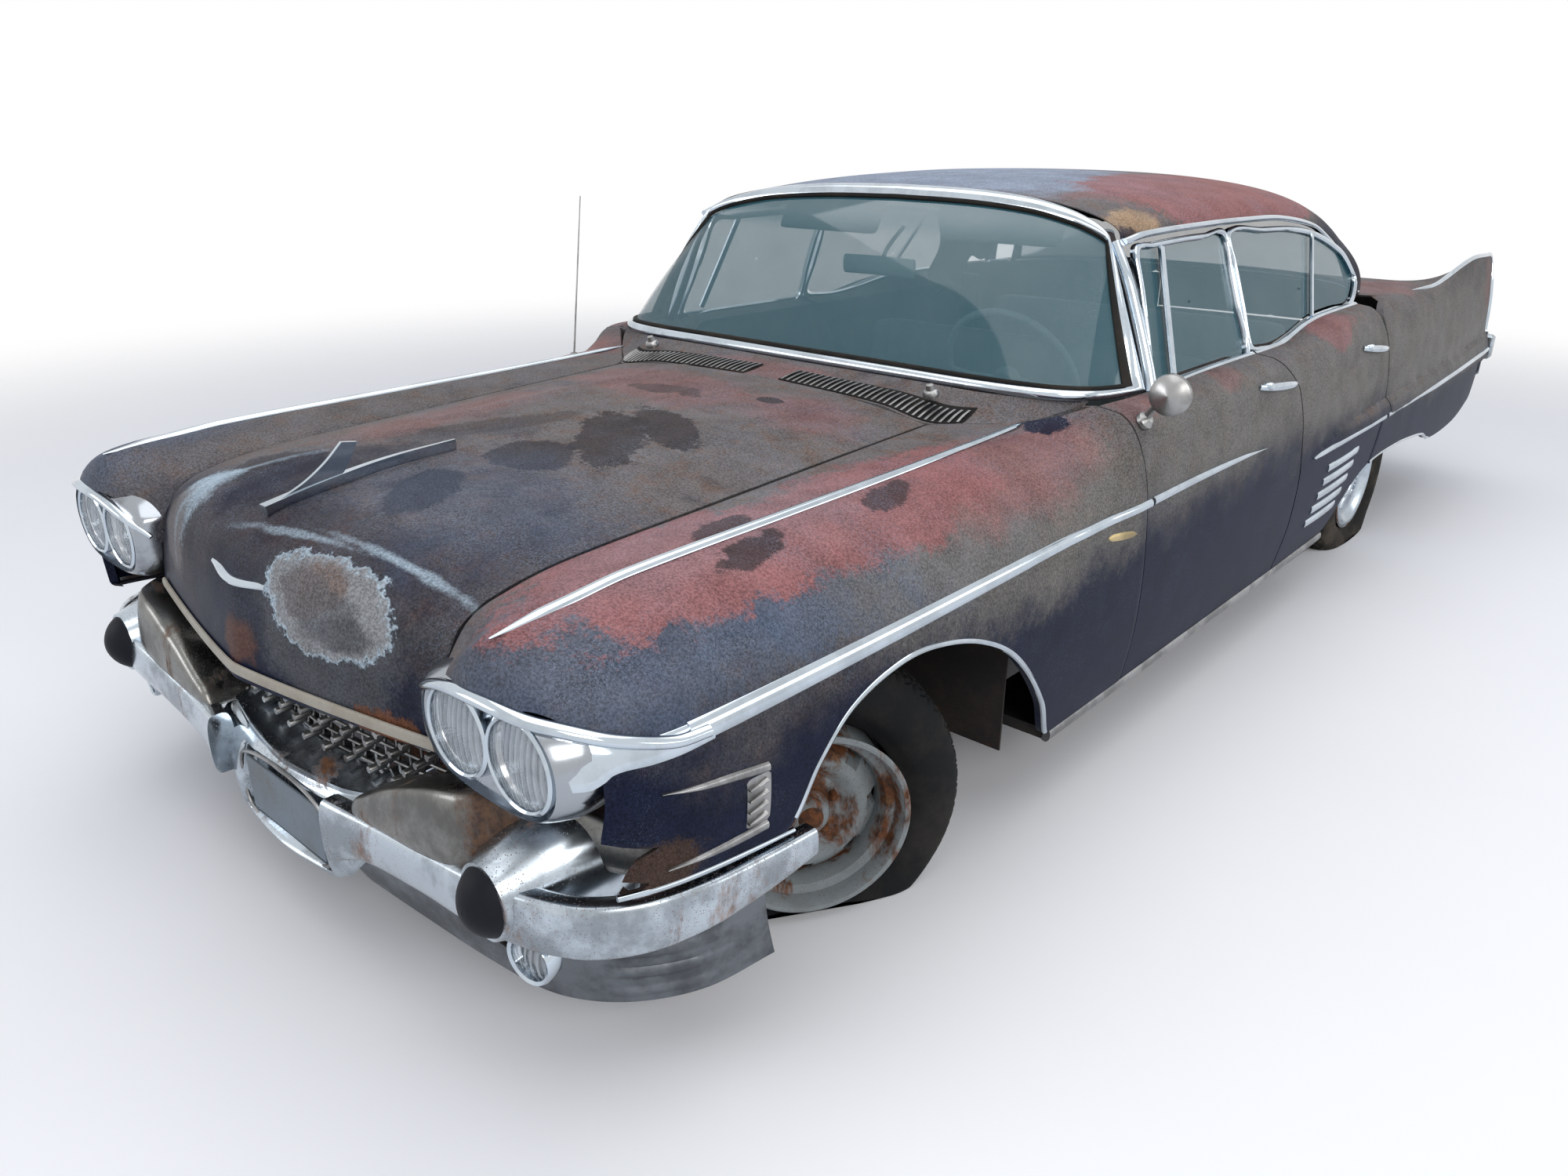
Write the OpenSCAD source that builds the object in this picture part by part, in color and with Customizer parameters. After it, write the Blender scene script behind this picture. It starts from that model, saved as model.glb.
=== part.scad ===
// Full-size four-door hardtop sedan of the late 1950s, weathered, on flat tyres.
// Front of the car towards -Y, driver's side +X, ground at Z = 0, origin on the
// ground below the middle of the car. Inside the modules Y is the station: the
// distance behind a datum just ahead of the bumper, and place() moves it home.

/* [Overall] */
// Length over the bumpers
car_length = 5507; // [5400:1:5600]
// Widest width, over the rear bumper ends
car_width = 2032; // [2000:1:2060]
// Distance between the axles
wheelbase = 3289; // [3250:1:3320]
// Height of the roof's crown above the ground, on flat tyres
roof_height = 1440; // [1410:1:1470]

/* [Wheels] */
// Radius of the rim's flange
rim_r = 208; // [200:1:215]
// Outer radius of a slack tyre
tyre_r = 350; // [340:1:356]
// Width of a tyre
tyre_w = 200; // [180:1:205]
// Distance from the middle to each rear wheel's centre plane
rear_track_half = 774; // [765:1:780]
// Distance from the middle to each front steering axis
kingpin_x = 682; // [675:1:690]
// Distance from the steering axis out to the wheel's centre plane
kingpin_offset = 70; // [60:1:80]
// How far the front wheels are turned to the right at rest
steer_rest = 33; // [0:1:33]
// Height of the hub whose rim stands on the ground
hub_low = 232; // [225:1:240]
// Height of the other hubs
hub_z = 255; // [250:1:262]

/* [Body] */
// Thickness of the pressed panels
skin = 4; // [3:0.5:6]
// Gap between neighbouring panels
gap = 8; // [7:0.5:10]
// Half width of the hood opening
hood_half = 550; // [540:1:556]
// Half width of the trunk lid
lid_half = 598; // [580:1:600]
// Inner face of the doors
door_inner = 790; // [780:1:800]

/* [Hidden] */

front_tip = 60;
mid_station = front_tip + car_length / 2;
front_axle = 905;
rear_axle_y = front_axle + wheelbase;
shaft_r = 17;
fit = 0.08;
column_tilt = 25;
column_x = 355;
wheel_centre = [column_x, 2241, 888];

navy = [0.11, 0.12, 0.18];
chrome = [0.75, 0.76, 0.78];
rust = [0.35, 0.2, 0.13];
steel = [0.3, 0.3, 0.32];
rubber = [0.08, 0.08, 0.08];
glass = [0.5, 0.65, 0.65, 0.4];
cloth = [0.45, 0.45, 0.42];

// ---- shape functions ------------------------------------------------------------

function mix(a, b, t) = a + (b - a) * t;

// Row of the table T at parameter u, by a cubic curve through the rows.
function span_of(T, u, k = 0) = (k >= len(T) - 2 || u < T[k + 1][0]) ? k : span_of(T, u, k + 1);
function slope(T, k) = let (a = max(k - 1, 0), b = min(k + 1, len(T) - 1)) (T[b] - T[a]) / (T[b][0] - T[a][0]);
function curve(T, u) = let (v = min(max(u, T[0][0]), T[len(T) - 1][0]), k = span_of(T, v),
    h = T[k + 1][0] - T[k][0], t = (v - T[k][0]) / h)
    (2 * pow(t, 3) - 3 * pow(t, 2) + 1) * T[k] + (pow(t, 3) - 2 * pow(t, 2) + t) * h * slope(T, k)
    + (3 * pow(t, 2) - 2 * pow(t, 3)) * T[k + 1] + (pow(t, 3) - pow(t, 2)) * h * slope(T, k + 1);

// Body side: station, inner edge x and z, rise exponent, crest x and z, shoulder exponent, widest x.
SIDE = [[100, 562, 660, 0.8, 720, 780, 2.2, 903], [115, 562, 675, 0.8, 720, 812, 2.2, 920],
        [135, 562, 695, 0.8, 720, 840, 2.2, 934], [165, 562, 722, 0.8, 720, 858, 2.2, 950],
        [231, 562, 806, 0.7, 718, 869, 2.3, 969], [310, 562, 835, 0.7, 715, 875, 2.3, 981],
        [431, 562, 854, 0.7, 712, 882, 2.3, 990], [800, 562, 871, 0.7, 705, 889, 2.3, 1000],
        [1170, 562, 887, 0.7, 705, 895, 2.3, 1003], [1450, 562, 898, 0.75, 708, 901, 2.3, 1003],
        [1530, 572, 901, 0.8, 715, 903, 2.4, 1003],
        [1640, 690, 903, 1, 735, 905, 2.5, 1003], [1727, 795, 925, 1, 805, 927, 2.7, 1003],
        [1785, 855, 950, 1, 860, 951, 2.9, 1003], [1900, 880, 956, 1, 885, 957, 3, 1003],
        [2100, 880, 956, 1, 885, 957, 3, 1003], [2320, 873, 957, 1, 878, 958, 3, 1003],
        [2600, 873, 957, 1, 878, 958, 3, 1003], [2950, 873, 957, 1, 878, 958, 3, 1003],
        [3060, 870, 974, 1, 875, 975, 3, 1002], [3170, 867, 991, 1, 872, 992, 3, 1001],
        [3320, 865, 1001, 1, 870, 1002, 3, 1000], [3690, 855, 1003, 1, 868, 1004, 3, 996],
        [3945, 800, 1001, 1.5, 866, 1003, 3, 994], [4040, 770, 1001, 1.5, 868, 1001, 3, 993],
        [4150, 705, 1003, 1.8, 872, 999, 2.8, 992], [4240, 640, 1005, 2, 880, 996, 2.6, 991],
        [4340, 606, 1008, 2.2, 890, 993, 2.4, 991], [4535, 606, 1002, 2.6, 912, 992, 2, 990],
        [4653, 606, 989, 3, 920, 1007, 1.8, 990], [4903, 606, 960, 3.4, 930, 1050, 1.5, 989],
        [5082, 606, 941, 3.6, 932, 1067, 1.4, 987], [5300, 606, 912, 3.8, 932, 1063, 1.4, 984],
        [5440, 606, 885, 4, 928, 1056, 1.4, 978]];
widest_z = 600;
tuck = 38;
tuck_z = 230;

// Lower edge of the body side: station and height, with both wheel arches.
LOWER = [[100, 492], [500, 447], [545, 466], [598, 549], [682, 625], [817, 662], [942, 658], [1094, 614],
         [1243, 525], [1402, 357], [1470, 244], [1500, 240], [3420, 240], [3480, 262], [3560, 322], [3660, 388],
         [3827, 429], [4100, 430], [4320, 417], [4600, 384], [4760, 338], [5190, 339], [5440, 405]];

// Panel cut lines: share of the height from lower edge to crest, and station.
FENDER_NOSE = [[0, 165], [0.25, 160], [0.45, 180], [0.62, 185], [0.78, 160], [0.9, 122], [1, 104]];
DOOR_FRONT = [[0, 1862], [0.2, 1857], [0.45, 1835], [0.68, 1812], [0.88, 1790], [1, 1785]];
DOOR_MIDDLE = [[0, 2930], [0.2, 2953], [0.45, 2938], [0.7, 2882], [0.86, 2835], [0.95, 2765], [1, 2715]];
DOOR_REAR = [[0, 3790], [0.25, 3828], [0.5, 3805], [0.75, 3765], [0.9, 3725], [1, 3690]];

function lower_z(s) = lookup(s, LOWER);
function side_x(row, z) = z >= widest_z
    ? row[4] + (row[7] - row[4]) * pow(max(1 - pow((z - widest_z) / (row[5] - widest_z), row[6]), 0), 1 / row[6])
    : row[7] - tuck * pow((widest_z - z) / (widest_z - tuck_z), 2);
// Point of the body side at station s, share c of the height.
function side_point(s, c) = let (row = curve(SIDE, s), z = mix(lower_z(s), row[5], c)) [side_x(row, z), s, z];
// Point of the panel's top between its inner edge and the crest.
function top_point(s, u) = let (row = curve(SIDE, s))
    [mix(row[1], row[4], u), s, mix(row[2], row[5], pow(u, row[3]))];
SHARES = [1, 0.992, 0.97, 0.93, 0.87, 0.78, 0.66, 0.52, 0.36, 0.18, 0];
TOPS = [0, 0.35, 0.7];

// Hood: share of the way back along the centre line; centre station and height, edge station and height.
HOOD = [[0, 68, 577, 160, 587], [0.07, 84, 690, 170, 660], [0.14, 96, 760, 182, 720], [0.2, 118, 820, 200, 766],
        [0.27, 160, 856, 226, 802], [0.34, 230, 882, 290, 832], [0.45, 420, 903, 440, 856],
        [0.6, 740, 924, 740, 871], [0.8, 1140, 938, 1140, 888], [1, 1516, 941, 1516, 902]];
function hood_point(u, v) = let (row = curve(HOOD, v), e = pow(abs(u), 2.6), prow = pow(abs(u), mix(1.15, 2.6, min(3 * v, 1))))
    [u * hood_half, mix(row[1], row[3], prow), mix(row[2], row[4], e)];

// Windshield: share of the half width; base x, station, height and header x, station, height.
SHIELD = [[0, 0, 1688, 966, 0, 2143, 1399], [0.3, 330, 1690, 966, 250, 2138, 1394],
          [0.55, 590, 1702, 964, 445, 2118, 1380], [0.72, 745, 1740, 962, 570, 2096, 1358],
          [0.84, 822, 1802, 960, 640, 2080, 1338], [0.93, 857, 1890, 958, 682, 2070, 1320],
          [1, 872, 2008, 956, 708, 2064, 1302]];
function shield_point(t, v) = let (row = curve(SHIELD, abs(t)), g = t < 0 ? -1 : 1, b = 26 * 4 * v * (1 - v))
    [g * mix(row[1], row[4], v), mix(row[2], row[5], v) - b * 0.7, mix(row[3], row[6], v) + b * 0.7];

// Rear window, in the same way.
BACKLIGHT = [[0, 0, 4330, 1008, 0, 3818, 1382], [0.4, 300, 4312, 1008, 250, 3825, 1373],
             [0.7, 540, 4245, 1007, 455, 3851, 1340], [0.88, 675, 4145, 1005, 580, 3877, 1292],
             [1, 742, 4045, 1003, 650, 3909, 1235]];
function backlight_point(t, v) = let (row = curve(BACKLIGHT, abs(t)), g = t < 0 ? -1 : 1, b = 30 * 4 * v * (1 - v))
    [g * mix(row[1], row[4], v), mix(row[2], row[5], v) + b * 0.7, mix(row[3], row[6], v) + b * 0.7];

// Roof: station, centre height, rail x and rail height.
ROOF = [[2050, roof_height - 44, 712, 1298], [2150, roof_height - 34, 726, 1308], [2400, roof_height - 12, 745, 1314],
        [2700, roof_height - 1, 752, 1313], [2900, roof_height, 752, 1310], [3200, roof_height - 6, 746, 1299],
        [3480, roof_height - 20, 738, 1264], [3720, roof_height - 44, 742, 1186], [3830, roof_height - 60, 755, 1120],
        [3940, roof_height - 80, 788, 1012], [4040, roof_height - 100, 792, 1010]];
function roof_point(u, s) = let (row = curve(ROOF, s), a = abs(u))
    [u * row[2], s, mix(row[3], row[1], pow(max(1 - pow(a, 2.3), 0), 1 / 2.3))];
ROOF_FRONT = [[0, 2164], [0.35, 2159], [0.62, 2138], [0.8, 2114], [0.93, 2100], [1, 2096]];
ROOF_REAR = [[0, 3800], [0.35, 3808], [0.62, 3832], [0.78, 3862], [0.88, 3905], [0.94, 3950], [1, 3992]];

// ---- mesh makers ----------------------------------------------------------------

function normal_at(P, i, j) = let (m = len(P) - 1, n = len(P[0]) - 1,
    a = P[min(i + 1, m)][j] - P[max(i - 1, 0)][j], b = P[i][min(j + 1, n)] - P[i][max(j - 1, 0)],
    c = cross(a, b)) c / norm(c);
function flat(P) = [for (row = P) each row];
function quad(a, b, c, d) = [[a, b, c], [a, c, d]];
function sum(L, k = 0, s = 0) = k == len(L) ? s : sum(L, k + 1, s + L[k]);
function volume(P, F) = sum([for (f = F) cross(P[f[0]], P[f[1]]) * P[f[2]]]) / 6;

// Polyhedron whose triangles are turned to face outwards.
module solid(points, tris) {
    inward = volume(points, tris) > 0;
    polyhedron(points = points, faces = inward ? [for (f = tris) [f[2], f[1], f[0]]] : tris);
}

// Closed wall between the grid P and the same grid moved t along its normals.
module wall(P, t) {
    m = len(P) - 1;
    n = len(P[0]) - 1;
    back = [for (i = [0:m]) [for (j = [0:n]) P[i][j] - t * normal_at(P, i, j)]];
    between(P, back);
}

// Closed solid between two grids of the same size.
module between(P, Q) {
    m = len(P) - 1;
    n = len(P[0]) - 1;
    w = n + 1;
    k = (m + 1) * w;
    faces = [for (i = [0:m - 1], j = [0:n - 1]) each quad(i * w + j, i * w + j + 1, (i + 1) * w + j + 1, (i + 1) * w + j),
        for (i = [0:m - 1], j = [0:n - 1])
            each quad(k + (i + 1) * w + j, k + (i + 1) * w + j + 1, k + i * w + j + 1, k + i * w + j),
        for (i = [0:m - 1]) each quad((i + 1) * w, k + (i + 1) * w, k + i * w, i * w),
        for (i = [0:m - 1]) each quad(i * w + n, k + i * w + n, k + (i + 1) * w + n, (i + 1) * w + n),
        for (j = [0:n - 1]) each quad(j, k + j, k + j + 1, j + 1),
        for (j = [0:n - 1]) each quad(m * w + j + 1, k + m * w + j + 1, k + m * w + j, m * w + j)];
    solid(concat(flat(P), flat(Q)), faces);
}

// Sections of equal length, skinned into a tube; closed in a loop, or with flat ends.
module skinned(S, loop = false) {
    m = len(S);
    n = len(S[0]);
    steps = loop ? m : m - 1;
    sides = [for (i = [0:steps - 1], j = [0:n - 1])
        each quad(i * n + j, ((i + 1) % m) * n + j, ((i + 1) % m) * n + (j + 1) % n, i * n + (j + 1) % n)];
    ends = loop ? [] : [for (j = [0:n - 1]) each [[j, (j + 1) % n, m * n],
        [(m - 1) * n + (j + 1) % n, (m - 1) * n + j, m * n + 1]]];
    middles = loop ? [] : [sum(S[0], 0, [0, 0, 0]) / n, sum(S[m - 1], 0, [0, 0, 0]) / n];
    solid(concat(flat(S), middles), concat(sides, ends));
}

// Beam of width w and height h along the points of a path that runs mostly along Y.
module beam(path, w, h) {
    skinned([for (p = path) [[p[0] - w / 2, p[1], p[2] - h / 2], [p[0] + w / 2, p[1], p[2] - h / 2],
        [p[0] + w / 2, p[1], p[2] + h / 2], [p[0] - w / 2, p[1], p[2] + h / 2]]]);
}

module place() { translate([0, -mid_station, 0]) children(); }
module both_sides() {
    children();
    mirror([1, 0, 0]) children();
}
module block(low, high) { translate(low) cube(high - low); }
module tube_x(x0, x1, r) { translate([x0, 0, 0]) rotate([0, 90, 0]) cylinder(h = x1 - x0, r = r, $fn = 48); }

// ---- body panels ----------------------------------------------------------------

function steps(n) = [for (i = [0:n]) i / n];

module front_fender() {
    rows = concat([for (u = TOPS) [u, 1, 0]], [for (c = SHARES) [1, c, 1]]);
    grid = [for (v = steps(18)) [for (r = rows)
        r[2] == 0
        ? top_point(mix(mix(162, 104, r[0]), mix(1775, 1777, r[0]), v), r[0])
        : side_point(mix(lookup(r[1], FENDER_NOSE), lookup(r[1], DOOR_FRONT) - gap, v), r[1])]];
    color(navy) wall(grid, skin);
}

module quarter() {
    rows = concat([for (u = TOPS) [u, 1, 0]], [for (c = SHARES) [1, c, 1]]);
    grid = [for (v = steps(16)) [for (r = rows)
        r[2] == 0
        ? top_point(mix(3952, 5432, v), r[0])
        : side_point(mix(mix(lookup(r[1], DOOR_REAR) + gap, 3952, pow(r[1], 30)), 5440, v), r[1])]];
    color(navy) wall(grid, skin);
}

module hood() {
    grid = [for (v = steps(18)) [for (u = steps(12)) hood_point(1 - 2 * u, v)]];
    color(navy) wall(grid, skin + 2);
}

module roof() {
    grid = [for (v = steps(12)) [for (a = steps(14)) let (u = sin(90 - 180 * a),
        s = mix(lookup(abs(u), ROOF_FRONT), lookup(abs(u), ROOF_REAR), v)) roof_point(u, s)]];
    color(navy) wall(grid, skin);
}

// Cowl: from the hood's rear edge back to the windshield's base.
COWL = [[0, 0, 1527, 940, 1676, 962], [0.45, 400, 1527, 925, 1680, 962], [0.64, 554, 1527, 902, 1684, 960],
        [0.75, 632, 1600, 903, 1700, 958], [0.86, 725, 1676, 908, 1732, 955], [0.94, 792, 1742, 934, 1780, 955],
        [1, 824, 1790, 952, 1806, 956]];
module cowl() {
    grid = [for (v = steps(4)) [for (a = steps(16)) let (t = 1 - 2 * a, row = curve(COWL, abs(t)), g = t < 0 ? -1 : 1)
        [g * row[1], mix(row[2], row[4], v), mix(row[3], row[5], pow(v, 1.5))]]];
    color(navy) wall(grid, skin);
}

module rear_deck() {
    grid = [for (v = steps(3)) [for (a = steps(14)) let (t = 1 - 2 * a, row = curve(BACKLIGHT, abs(t)), g = t < 0 ? -1 : 1,
        side = min(742, curve(SIDE, mix(4061, 4446, v))[1] - gap - 2))
        [g * row[1] * mix(1, side / 742, pow(abs(t), 3)), mix(row[2] + 16, 4446, v), 1004 + 8 * (1 - t * t)]]];
    color(navy) wall(grid, skin);
}

// Trunk lid: share of the way back; station, centre height and edge height.
LID = [[0, 4454, 1013, 1006], [0.25, 4700, 992, 984], [0.5, 4960, 962, 953], [0.72, 5200, 930, 922],
       [0.85, 5340, 898, 892], [0.93, 5415, 850, 846], [1, 5436, 690, 690]];
module trunk_lid() {
    grid = [for (v = steps(12)) [for (a = steps(8)) let (u = 1 - 2 * a, row = curve(LID, v))
        [u * lid_half, row[1] - 30 * u * u * pow(v, 4), mix(row[2], row[3], u * u)]]];
    color(navy) wall(grid, skin + 2);
}

module tail_panel() {
    color(navy) {
        block([-940, 5400, 470], [940, 5408, 680]);
        block([-940, 5400, 679], [-lid_half - 6, 5408, 860]);
        block([lid_half + 6, 5400, 679], [940, 5408, 860]);
    }
}

// Ring of trim: loops of outer and inner points on a surface, w deep along the normals.
module surround(outer, inner, depth) {
    skinned([for (i = [0:len(outer) - 1]) [outer[i], inner[i], inner[i] + depth, outer[i] + depth]], loop = true);
}
function loop_of(a, b, c, d, n) = concat([for (i = [0:n - 1]) [mix(a, b, i / n), c]], [for (i = [0:3]) [b, mix(c, d, i / 4)]],
    [for (i = [0:n - 1]) [mix(b, a, i / n), d]], [for (i = [0:3]) [a, mix(d, c, i / 4)]]);

module windshield_frame() {
    color(chrome) surround([for (p = loop_of(-1, 1, 0, 1, 16)) shield_point(p[0], p[1])],
        [for (p = loop_of(-0.965, 0.965, 0.05, 0.945, 16)) shield_point(p[0], p[1])], [0, 14, -6]);
    color(chrome) surround([for (p = loop_of(-1, 1, 0, 1, 12)) backlight_point(p[0], p[1])],
        [for (p = loop_of(-0.97, 0.97, 0.05, 0.95, 12)) backlight_point(p[0], p[1])], [0, -16, -12]);
}

module fixed_glass() {
    color(glass) wall([for (v = steps(4)) [for (t = steps(16))
        shield_point(mix(0.957, -0.957, t), mix(0.06, 0.935, v)) + [0, 6, -4]]], 5);
    color(glass) wall([for (v = steps(4)) [for (t = steps(12))
        backlight_point(mix(-0.962, 0.962, t), mix(0.06, 0.94, v)) - [0, 5, 4]]], 5);
}

// ---- doors ----------------------------------------------------------------------

// Station and height of the doors' inner upper edge, which dips under the windshield's corner.
INNER_TOP = [[2030, 885], [2100, 940]];

// Door body: outer skin to a flat inner face whose rear end is drawn forward, so that it swings clear.
module door_body(front, rear, inset) {
    outer = [for (v = steps(7)) [for (c = SHARES) side_point(mix(lookup(c, front), lookup(c, rear), v), c)]];
    inner = [for (v = steps(7)) [for (c = SHARES) let (s = mix(lookup(c, front), lookup(c, rear) - inset, v),
        p = side_point(s, c)) [min(door_inner, p[0] - 40), s, mix(lower_z(s) + 4, lookup(s, INNER_TOP), c)]]];
    between(outer, inner);
}

function shifted(T, d) = [for (row = T) [row[0], row[1] + d]];

// Side windows lie in one leaning surface; x at height z.
function pane_x(z) = 871 - (z - 958) * 0.365;
function pane(p) = [pane_x(p[1]), p[0], p[1]];
FRONT_PANE = [[2060, 949], [2200, 948], [2400, 948], [2550, 948], [2693, 948], [2693, 1080], [2693, 1190], [2693, 1294],
              [2550, 1296], [2400, 1296], [2200, 1292], [2112, 1286], [2094, 1190], [2076, 1080]];
REAR_PANE = [[2711, 968], [2790, 951], [2900, 948], [3040, 962], [3180, 983], [3320, 993], [3500, 996], [3680, 998], [3772, 1060],
             [3762, 1104], [3695, 1172], [3600, 1212], [3480, 1246], [3340, 1270], [3200, 1282], [2980, 1290],
             [2711, 1294], [2711, 1190], [2711, 1080]];
// Point of a window outline moved w towards the window's middle m.
function inset(p, m, w) = p + w * [sign(m[0] - p[0]) * min(1, abs(m[0] - p[0]) / 60), sign(m[1] - p[1]) * min(1, abs(m[1] - p[1]) / 20)];
module window_ring(outline, m) {
    surround([for (p = outline) pane(p)], [for (p = outline) pane(inset(p, m, 16))], [-22, 0, -8]);
}
module window_glass(outline, m) {
    face = [for (p = outline) pane(inset(p, m, 20)) - [8, 0, 3]];
    skinned([face, [for (p = face) p - [5, 0, 1.8]]]);
}

module front_door() {
    color(navy) door_body(DOOR_FRONT, DOOR_MIDDLE, 38);
    color(chrome) window_ring(FRONT_PANE, [2380, 1130]);
}
module rear_door() {
    color(navy) door_body(shifted(DOOR_MIDDLE, gap), DOOR_REAR, 42);
    color(chrome) window_ring(REAR_PANE, [3220, 1090]);
}
module front_glass() { color(glass) window_glass(FRONT_PANE, [2380, 1130]); }
module rear_glass() { color(glass) window_glass(REAR_PANE, [3220, 1090]); }

// ---- structure ------------------------------------------------------------------

module frame_rails() {
    color(rust) both_sides() difference() {
        beam([[345, 250, 330], [345, 400, 330], [345, 1300, 290], [300, 1500, 240], [215, 1800, 215], [130, 2050, 215], [130, 2750, 215],
              [305, 3320, 214], [340, 3420, 238], [500, 3700, 330], [520, 3900, 420], [520, 4450, 430], [500, 5380, 400]], 60, 90);
        translate([345, 290, 200]) cylinder(h = 200, r = 11, $fn = 40);
    }
    // Crossmembers: station, half width and lower height.
    color(rust) for (m = [[380, 346, 290], [1330, 346, 280], [3535, 412, 272], [4700, 500, 390]])
        block([-m[1], m[0], m[2]], [m[1], m[0] + 70, m[2] + 38]);
    color(rust) block([-112, 2350, 170], [112, 2450, 186]);
}

module floor_pan() {
    side = [[1640, 892], [1640, 420], [1850, 262], [3330, 262], [3380, 330], [3560, 345], [3700, 520], [4420, 540],
            [4560, 480], [5390, 480], [5390, 486], [4562, 486], [4422, 546], [3698, 526], [3556, 351], [3376, 336],
            [3326, 268], [1853, 268], [1646, 423], [1646, 892]];
    color(rust) intersection() {
        rotate([90, 0, 90]) translate([0, 0, -780]) linear_extrude(1560) polygon(side);
        union() {
            block([-780, 1600, 200], [780, 3800, 1000]);
            block([-640, 3799, 200], [640, 5500, 1000]);
        }
    }
    color(navy) both_sides() {
        block([779, 1500, 206], [962, 3440, 234]);
        block([779, 1600, 230], [784, 3440, 268]);
        block([800, 1690, 234], [880, 1740, 820]);
        block([742, 2870, 262], [782, 2950, 735]);
    }
}

module inner_fenders() {
    color(steel) both_sides() {
        block([398, 470, 330], [402, 1330, 800]);
        block([398, 470, 796], [556, 1330, 800]);
        block([552, 470, 600], [556, 1330, 800]);
        block([398, 1329, 240], [930, 1334, 800]);
        block([650, 3870, 486], [654, 4560, 699]);
        block([650, 3870, 698], [930, 4560, 702]);
    }
}

module radiator() {
    color(steel) {
        block([-520, 330, 380], [520, 336, 760]);
        block([-340, 342, 380], [340, 400, 770]);
    }
}

// Engine block, and the gearbox behind it.
module engine() {
    color(steel) block([-280, 620, 260], [280, 1320, 800]);
    color(steel) block([-90, 1319, 182], [90, 1992, 255]);
}

EXHAUST = [[430, 1400, 200], [430, 3300, 180], [396, 3560, 168], [396, 3820, 460], [396, 4500, 465],
           [400, 4620, 320], [600, 4800, 300], [640, 5420, 300]];
module exhaust() {
    color(rust) both_sides() {
        skinned([for (p = EXHAUST) [for (a = [0:45:315]) p + [28 * cos(a), 0, 28 * sin(a)]]]);
        translate([430, 2200, 192]) rotate([-90, 0, 0]) scale([1, 0.6, 1]) cylinder(h = 600, r = 90, $fn = 32);
    }
}

module fuel_tank() { color(rust) block([-380, 4740, 250], [380, 5250, 380]); }

// ---- running gear ---------------------------------------------------------------

// Rim, disc, drum and hub in one turned solid; +X is the outside of the car.
module wheel_solid() {
    color(steel) rotate([0, 90, 0]) rotate_extrude($fn = 64) polygon([
        [rim_r, 78], [193, 74], [190, 42], [165, 20], [165, -20], [190, -42], [193, -74], [rim_r, -78],
        [rim_r, -82], [187, -80], [184, -44], [159, -22], [159, -2], [130, 12], [108, 12], [84, -8], [148, -12],
        [150, -62], [143, -62], [143, -20], [50, -20], [46, -34], [shaft_r + fit, -34], [shaft_r + fit, 46],
        [0, 46], [0, 60], [20, 60], [38, 50], [44, 8], [62, 2], [82, 0], [106, 20], [132, 20], [159, 6],
        [159, 22], [184, 44], [187, 80], [rim_r, 82]]);
}
module tyre_solid(r, shift, height) {
    color(rubber) difference() {
        rotate([0, 90, 0]) rotate_extrude($fn = 64) translate([0, shift]) polygon([
            [rim_r + 1, -72], [240, -tyre_w / 2 + 6], [290, -tyre_w / 2], [r - 20, -tyre_w / 2 + 14], [r, -tyre_w / 2 + 34],
            [r, tyre_w / 2 - 34], [r - 20, tyre_w / 2 - 14], [290, tyre_w / 2], [240, tyre_w / 2 - 6], [rim_r + 1, 72]]);
        translate([0, 0, -height - 200]) cube([2 * tyre_w, 2 * r, 400], center = true);
    }
}
// Puts a straight-ahead front wheel of the left side at its rest steering angle.
module steered(height) {
    translate([kingpin_x, front_axle, height]) rotate([0, 0, -steer_rest]) translate([kingpin_offset, 0, 0]) children();
}
module steered_right(height) {
    translate([-kingpin_x, front_axle, height]) rotate([0, 0, -steer_rest]) translate([-kingpin_offset, 0, 0])
        mirror([1, 0, 0]) children();
}
module rear_left() { translate([rear_track_half, rear_axle_y, hub_z]) children(); }

module knuckle_solid() {
    color(rust) {
        tube_x(-kingpin_offset, 40, shaft_r);
        translate([-kingpin_offset, 0, -108]) cylinder(h = 216, r = 14, $fn = 40);
        translate([-kingpin_offset, 0, -62]) cylinder(h = 124, r = 26, $fn = 40);
        tube_x(-80, -72, 70);
    }
}

module arm(height, z_in) {
    difference() {
        union() {
            hull() {
                translate([kingpin_x, front_axle, height - 11]) cylinder(h = 22, r = 26, $fn = 32);
                translate([400, front_axle - 110, z_in - 11]) cylinder(h = 22, r = 20, $fn = 32);
            }
            hull() {
                translate([kingpin_x, front_axle, height - 11]) cylinder(h = 22, r = 26, $fn = 32);
                translate([400, front_axle + 110, z_in - 11]) cylinder(h = 22, r = 20, $fn = 32);
            }
        }
        translate([kingpin_x, front_axle, height - 60]) cylinder(h = 120, r = 14 + fit, $fn = 40);
    }
}
module front_suspension() {
    color(rust) {
        arm(hub_low - 88, 170);
        mirror([1, 0, 0]) arm(hub_z - 88, 170);
        block([-398, front_axle - 130, 150], [398, front_axle + 130, 182]);
    }
}

module rear_axle() {
    color(rust) {
        translate([0, rear_axle_y, hub_z]) {
            tube_x(-rear_track_half - 40, rear_track_half + 40, shaft_r);
            tube_x(-rear_track_half + 74, rear_track_half - 74, 40);
            sphere(r = 130, $fn = 32);
        }
        hull() {
            translate([0, 2000, 215]) rotate([-90, 0, 0]) cylinder(h = 10, r = 28, $fn = 24);
            translate([0, rear_axle_y - 120, hub_z - 15]) rotate([-90, 0, 0]) cylinder(h = 10, r = 28, $fn = 24);
        }
        both_sides() {
            translate([420, rear_axle_y, hub_z + 30]) cylinder(h = 130, r = 55, $fn = 32);
            block([430, 3600, 200], [470, rear_axle_y, 240]);
        }
    }
}

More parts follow.
